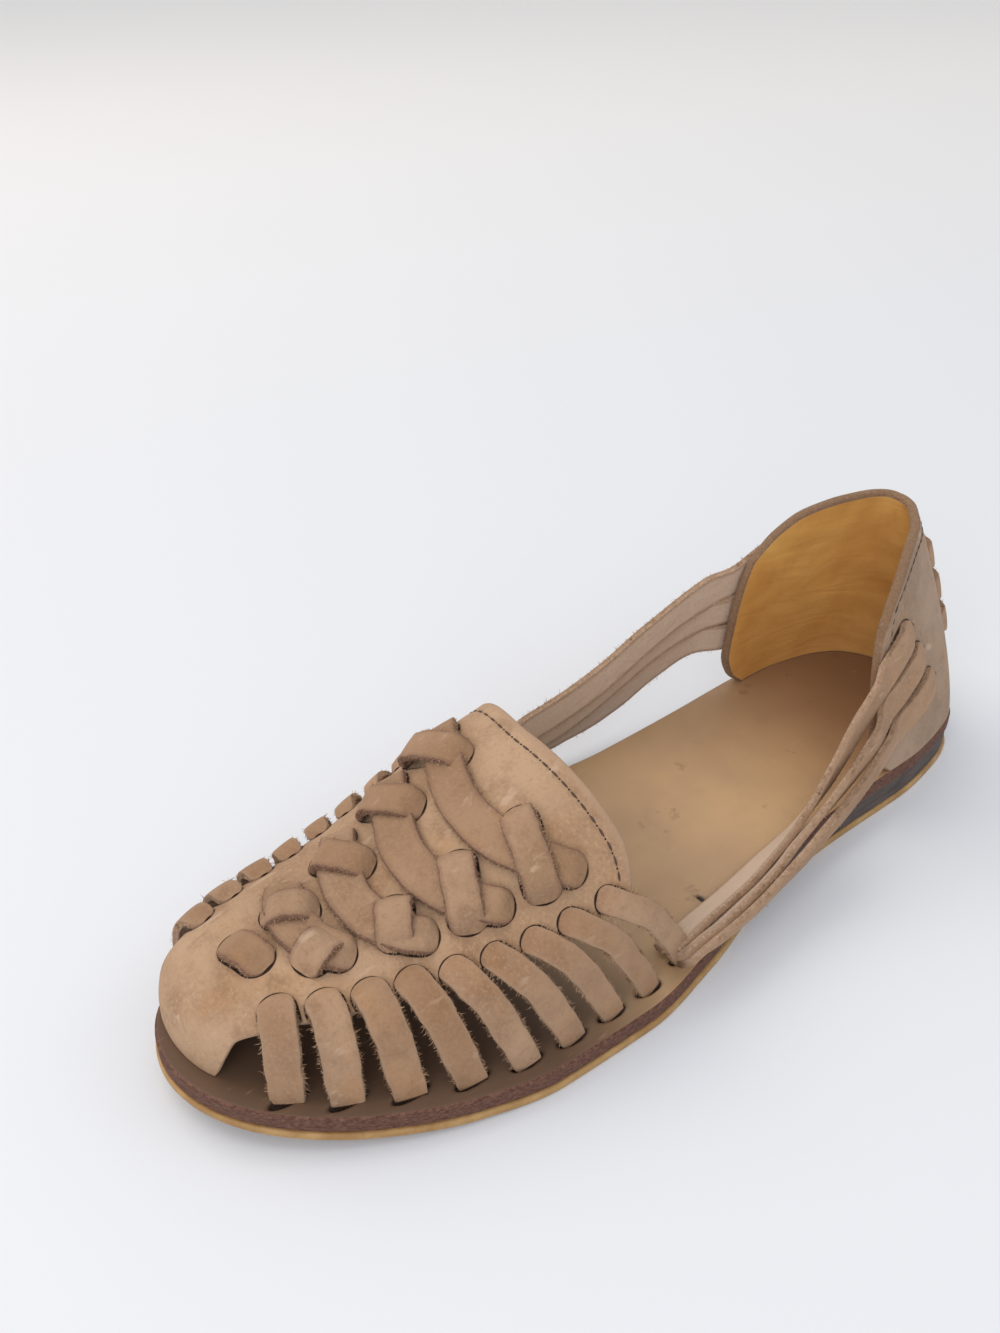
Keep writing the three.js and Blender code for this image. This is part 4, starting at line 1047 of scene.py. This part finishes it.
def lining_leather():
    """Vegetable-tanned lining: thin smooth calf, glazed by wear, so it is warm ochre with browner
    clouds, soft horizontal folds with a little painted shade in them, and a dull gloss. It is darker
    low down. On the lateral side, which the light reaches less, it is darkest, as painted shade."""
    material, tree, shader, where = blank("ochre lining leather")
    place = add(tree, "SeparateXYZ", {"Vector": where})
    flat = add(tree, "Mapping", {"Vector": where, "Scale": (0.35, 0.35, 1.6)}).outputs[0]
    folds = add(tree, "TexNoise", {"Vector": flat, "Scale": per(12), "Detail": 2,
                                   "Distortion": 1.2}).outputs["Fac"]
    colour = clouded(tree, "#E2B062", "#CF9850", where, 22, 0.35, 0.68, 1, 4, 0.5, 0.5)
    colour = clouded(tree, colour, "#B38244", where, 5, 0.5, 0.8, 0.3)
    # painted shade: a little darker in the folds
    colour = stained(tree, colour, "#B07C40", folds, 0.55, 0.8, 0.2)
    colour = stained(tree, colour, "#C0854A", place.outputs[2], 0.05, 0.016, 0.35)
    # painted shade: darker towards the lateral side, which the light reaches less
    colour = stained(tree, colour, "#8E5F30", place.outputs[0], -0.024, 0.014, 0.68)
    grain = add(tree, "TexNoise", {"Vector": where, "Scale": per(0.7), "Detail": 5}).outputs["Fac"]
    carved(tree, shader, (grain, 0.2, 0.00015), (folds, 0.3, 0.0016))
    gloss = add(tree, "MapRange", {"Value": grain, "From Min": 0.3, "From Max": 0.7, "To Min": 0.44,
                                   "To Max": 0.58})
    tree.links.new(gloss.outputs[0], shader.inputs["Roughness"])
    return finished(material, tree, shader, colour, Specular_IOR_Level=0.4)


def flesh_leather_darkened_as_shade():
    """The vamp's inside: unfinished flesh side of the hide, matt brown and hairy, its brown made
    darker than the hide's own as painted shade under the vamp.
    """
    material, tree, shader, where = blank("flesh side leather darkened as shade")
    colour = clouded(tree, "#5C4432", "#453224", where, 9, 0.35, 0.7)
    hair = add(tree, "TexNoise", {"Vector": where, "Scale": per(0.8), "Detail": 5, "Roughness": 0.7})
    carved(tree, shader, (hair.outputs["Fac"], 0.4, 0.0003))
    return finished(material, tree, shader, colour, Roughness=0.95)


def footbed_leather():
    """Insole leather: firm vegetable-tanned board, burnished, so it has a satin brown-grey face with
    faint creases and handling marks, a red-brown fibrous cut side and slots painted near-black as
    shade. It is darker towards the heel, and darker over the front under the vamp, as painted shade."""
    material, tree, shader, where = blank("burnished insole leather")
    place = add(tree, "SeparateXYZ", {"Vector": where})
    edge = add(tree, "Attribute", attribute_name="cut").outputs["Fac"]
    slot_shade = add(tree, "Attribute", attribute_name="dark").outputs["Fac"]
    colour = clouded(tree, "#A98A69", "#BC9A72", where, 48, 0.35, 0.66, 1, 3, 0.5, 0.3)
    colour = clouded(tree, colour, "#94765A", where, 9, 0.5, 0.85, 0.3)
    colour = stained(tree, colour, "#7E5A3C", place.outputs[1], 0.03, 0.12, 0.75)
    # painted shade: dark over the front, where the vamp covers the footbed
    colour = stained(tree, colour, "#5D4636", place.outputs[1], -0.015, -0.06, 0.95)
    colour = clouded(tree, colour, "#5E4430", where, 14, 0.64, 0.7, 0.3, 4, 0.7)
    stretched = add(tree, "Mapping", {"Vector": where, "Rotation": (0, 0, 0.5),
                                      "Scale": (1, 0.2, 1)}).outputs[0]
    colour = clouded(tree, colour, "#B69B7C", stretched, 1.6, 0.66, 0.76, 0.24, 2, 0.4)
    fibre = add(tree, "Mapping", {"Vector": where, "Scale": (1, 1, 3)}).outputs[0]
    raw = clouded(tree, "#5A382C", "#86604E", fibre, 1.3, 0.35, 0.68, 1, 6, 0.7)
    rubbed = clouded(tree, raw, "#9A7C66", fibre, 0.8, 0.6, 0.72, 0.6, 6, 0.7)
    colour = stained(tree, colour, rubbed, edge, 0.2, 0.8)
    # painted shade: near-black in the strap slots
    colour = stained(tree, colour, "#23160F", slot_shade, 0.1, 0.7)
    grain = add(tree, "TexNoise", {"Vector": where, "Scale": per(1.1), "Detail": 6}).outputs["Fac"]
    torn = add(tree, "TexNoise", {"Vector": fibre, "Scale": per(0.9), "Detail": 6,
                                  "Roughness": 0.75}).outputs["Fac"]
    carved(tree, shader, (grain, 0.2, 0.00012), (torn, edge, 0.0006))
    gloss = add(tree, "MapRange", {"Value": edge, "From Min": 0.2, "From Max": 0.8, "To Min": 0.46,
                                   "To Max": 0.9})
    tree.links.new(gloss.outputs[0], shader.inputs["Roughness"])
    return finished(material, tree, shader, colour, Specular_IOR_Level=0.42)


def wedge_rubber():
    """Microcellular rubber, sanded flush: matt charcoal with a faint brown dust and fine scratches
    along the side."""
    material, tree, shader, where = blank("sanded microcellular rubber")
    flat = add(tree, "Mapping", {"Vector": where, "Scale": (1, 0.5, 2.5)}).outputs[0]
    colour = clouded(tree, "#423936", "#5C514C", flat, 5, 0.3, 0.7, 1, 5, 0.65)
    colour = clouded(tree, colour, "#77655C", where, 1.1, 0.6, 0.8, 0.4, 4, 0.7)
    sanding = add(tree, "TexNoise", {"Vector": flat, "Scale": per(0.9), "Detail": 5,
                                     "Roughness": 0.7})
    carved(tree, shader, (sanding.outputs["Fac"], 0.4, 0.0004))
    return finished(material, tree, shader, colour, Roughness=0.82)


def crepe():
    """Plantation crepe: honey-coloured raw rubber, slightly waxy, its cut edge finely wrinkled."""
    material, tree, shader, where = blank("honey crepe rubber")
    colour = clouded(tree, "#B58E5A", "#98713F", where, 8, 0.32, 0.7)
    colour = clouded(tree, colour, "#87613A", where, 1.2, 0.55, 0.8, 0.5, 4, 0.7)
    cells = add(tree, "TexVoronoi", {"Vector": where, "Scale": per(1.5)}, feature="SMOOTH_F1")
    carved(tree, shader, (cells.outputs["Distance"], 0.45, 0.0004))
    return finished(material, tree, shader, colour, Roughness=0.62, Subsurface_Weight=0.05)


def waxed_thread():
    """Waxed thread: dark brown, twisted, a little shiny; the beads for the needle holes are
    near-black, as painted shade.
    """
    material, tree, shader, where = blank("waxed brown thread")
    hole_shade = add(tree, "Attribute", attribute_name="dark").outputs["Fac"]
    colour = clouded(tree, "#3A281D", "#574033", where, 0.5, 0.3, 0.7, 1, 2)
    # painted shade: the needle-hole beads are near-black
    colour = stained(tree, colour, "#1C120C", hole_shade, 0, 1)
    return finished(material, tree, shader, colour, Roughness=0.6)


def loose_fibre():
    """Loose hide fibres: pale, translucent hairs, lighter than the leather."""
    material, tree, shader, where = blank("loose hide fibre")
    colour = clouded(tree, "#C7A584", "#9C7A59", where, 6, 0.35, 0.65, 1, 3)
    return finished(material, tree, shader, colour, Roughness=0.9)


VAMP_NUBUCK = nubuck("tan nubuck", "#BA997A", "#A68567", "#84644A", "#AE8F75", 1.0)
COUNTER_NUBUCK = nubuck("tan nubuck with raw rim", "#A68D78", "#937A64", "#7F654F", "#806248", 1.0)
THONG_NUBUCK = nubuck("tan nubuck thong", "#B19073", "#9D7C60", "#806046", "#A2846A", 0.9,
                      flesh="#CBB39D")
WOVEN_NUBUCK = nubuck("tan nubuck thong with burnished edges", "#AE8E72", "#9A7B5F", "#7E6046",
                      "#735444", 0.9, flesh="#8A6A50")
LINING = lining_leather()
FLESH_DARKENED_AS_SHADE = flesh_leather_darkened_as_shade()
FOOTBED_LEATHER = footbed_leather()
WEDGE_RUBBER = wedge_rubber()
CREPE = crepe()
THREAD = waxed_thread()
FIBRE = loose_fibre()


# ------------------------------------------------------------------ the pieces

def outsole_piece():
    """The crepe sheet: its edge stands a little proud of the footbed's, softly rounded."""
    over = lambda y: OUTSOLE + GAP / 2 + spring(y)
    profile = edge_profile(spring, over, OUTSOLE_INSET, 0.6) + [(d, over) for d in ACROSS]
    layer("crepe_outsole", "outsole", CREPE, profile)


def wedge_piece():
    """The heel wedge: it fills the space between the sheet and the footbed back from the waist."""
    under = lambda y: OUTSOLE + 0.1 + 0 * y
    over = lambda y: OUTSOLE + GAP + np.maximum(lift(y) - 0.05, TIP_THICKNESS)
    profile = edge_profile(under, over, WEDGE_INSET, 0.3) + [(d, over) for d in ACROSS]
    layer("wedge", "heel_wedge", WEDGE_RUBBER, profile, WEDGE_TIP)


def footbed_piece():
    """The insole board: softened upper edge, a shallow dish under the heel, and slots pressed in and
    painted dark as shade where each side loop enters and at the quarter straps' root."""
    under = lambda y: OUTSOLE + GAP / 2 + spring(y) + lift(y)
    profile = edge_profile(under, footbed_top, FOOTBED_INSET, 0.75)
    insets = np.concatenate([np.linspace(1.7, 12.5, 28), np.linspace(13.5, HALF_WIDTH, 26)])
    profile += [(d, footbed_top) for d in insets]
    rings = slab(profile, around=1080)
    x, y, z = (rings[..., k] for k in range(3))
    inset = np.array([d for d, _ in profile])[:, None]
    top = (np.arange(len(profile)) >= 12)[:, None]
    dish = 1.0 * smooth(6, 40, inset) * smooth(20, 90, y) + 0.5 * smooth(8, 40, inset)
    # the slots' mask: it presses them in, and as the dark mark it is painted shade
    dark = np.zeros(x.shape)
    slots = [(fx, fy, half + 0.9, FOOT_SLOT) for fx, fy, half in FEET] + [ROOT_SLIT]
    for fx, fy, long, wide in slots:
        reach = np.sqrt(((y - fy) / long) ** 2 + ((x - fx) / wide) ** 2)
        dark = np.maximum(dark, smooth(1.15, 0.75, reach) * top)
    rings[..., 2] = z - top * (dish + 1.3 * dark)
    side = np.broadcast_to(smooth(1.4, 0.9, inset) * (np.arange(len(profile)) > 6)[:, None], x.shape)
    piece("insole_board", rings.reshape(-1, 3), grid_faces(*rings.shape[:2], closed=True),
          ["footbed"], [FOOTBED_LEATHER], {"cut": side, "dark": dark})


outsole_piece()
wedge_piece()
footbed_piece()
vamp_piece(VAMP_NUBUCK, FLESH_DARKENED_AS_SHADE)
counter_piece(COUNTER_NUBUCK, LINING)
for name, points, faces, marks in THONGS:
    covers = [] if name.startswith("crossing") else [name.replace("woven_band", "woven_unit")]
    material = WOVEN_NUBUCK if name.startswith(("woven", "crossing", "toe")) else THONG_NUBUCK
    piece(name + "_leather", points, faces, covers, [material], marks)
stitches(THREAD)
fibres(FIBRE)


# ------------------------------------------------------------------ floor, light and camera

FLOOR_REACH = 6.0  # m
AWAY = (-0.785, 0.619, 0)  # level direction in which the camera looks
LIGHTS = (  # name, place in m, size, power, colour
    ("window_light", (-0.85, -0.4, 1.15), 1.2, 8.5, "#FFF2E4"),
    ("front_light", (0.7, -1.0, 0.8), 1.0, 8.0, "#F3F6FF"),
    ("back_light", (0.5, 1.1, 1.2), 0.9, 2.0, "#FFFFFF"),
)
ROOM_LIGHT = 0.78
CAMERA_AT = (182.4, -182.1, 237.2)  # mm
LOOKS_ALONG = (-0.6531, 0.5145, -0.5556)
LENS, SENSOR = 33.76, 36


def studio():
    """A pale floor, grey-blue near the camera and warm white far off as painted light, and soft light
    from a large window on the left, from the front and, weaker, from behind."""
    material, tree, shader, where = blank("white painted floor")
    # painted light: grey-blue near the camera, warm white far off, where the lamps light the floor
    # less
    far = add(tree, "VectorMath", {0: where, 1: AWAY}, operation="DOT_PRODUCT")
    colour = stained(tree, "#DFE2E6", "#F8F6F3", far.outputs["Value"], 0.1, 1.6)
    finished(material, tree, shader, colour, Roughness=0.6)
    mesh = bpy.data.meshes.new("floor")
    corners = np.array([(-1, -1, 0), (1, -1, 0), (1, 1, 0), (-1, 1, 0)]) * FLOOR_REACH
    mesh.from_pydata(corners, [], [(0, 1, 2, 3)])
    mesh.materials.append(material)
    placed("floor", mesh)
    for name, place, size, power, colour in LIGHTS:
        lamp = bpy.data.lights.new(name, "AREA")
        lamp.size, lamp.energy = size, power
        lamp.color = linear(colour)[:3]
        made = placed(name, lamp)
        made.location = place
        aim(made, (0, 0, 0.03))
    world = bpy.data.worlds.new("pale room")
    world.use_nodes = True
    sky = world.node_tree.nodes["Background"]
    sky.inputs["Color"].default_value = linear("#F2F3F6")
    sky.inputs["Strength"].default_value = ROOM_LIGHT
    bpy.context.scene.world = world
    bpy.context.scene.view_settings.view_transform = "Standard"


def aim(made, target):
    """Turns a lamp or camera to look at a point, kept upright."""
    way = Vector(target) - made.location
    made.rotation_euler = way.to_track_quat("-Z", "Y").to_euler()


def camera():
    """The camera, above and outside the toe, looking down the length of the shoe."""
    lens = bpy.data.cameras.new("camera")
    lens.lens, lens.sensor_width = LENS, SENSOR
    made = placed("camera", lens)
    place = (np.array(CAMERA_AT) - [CENTRE_LINE, 0, 0]) * MM
    made.location = place
    aim(made, place + np.array(LOOKS_ALONG))
    bpy.context.scene.camera = made


studio()
camera()
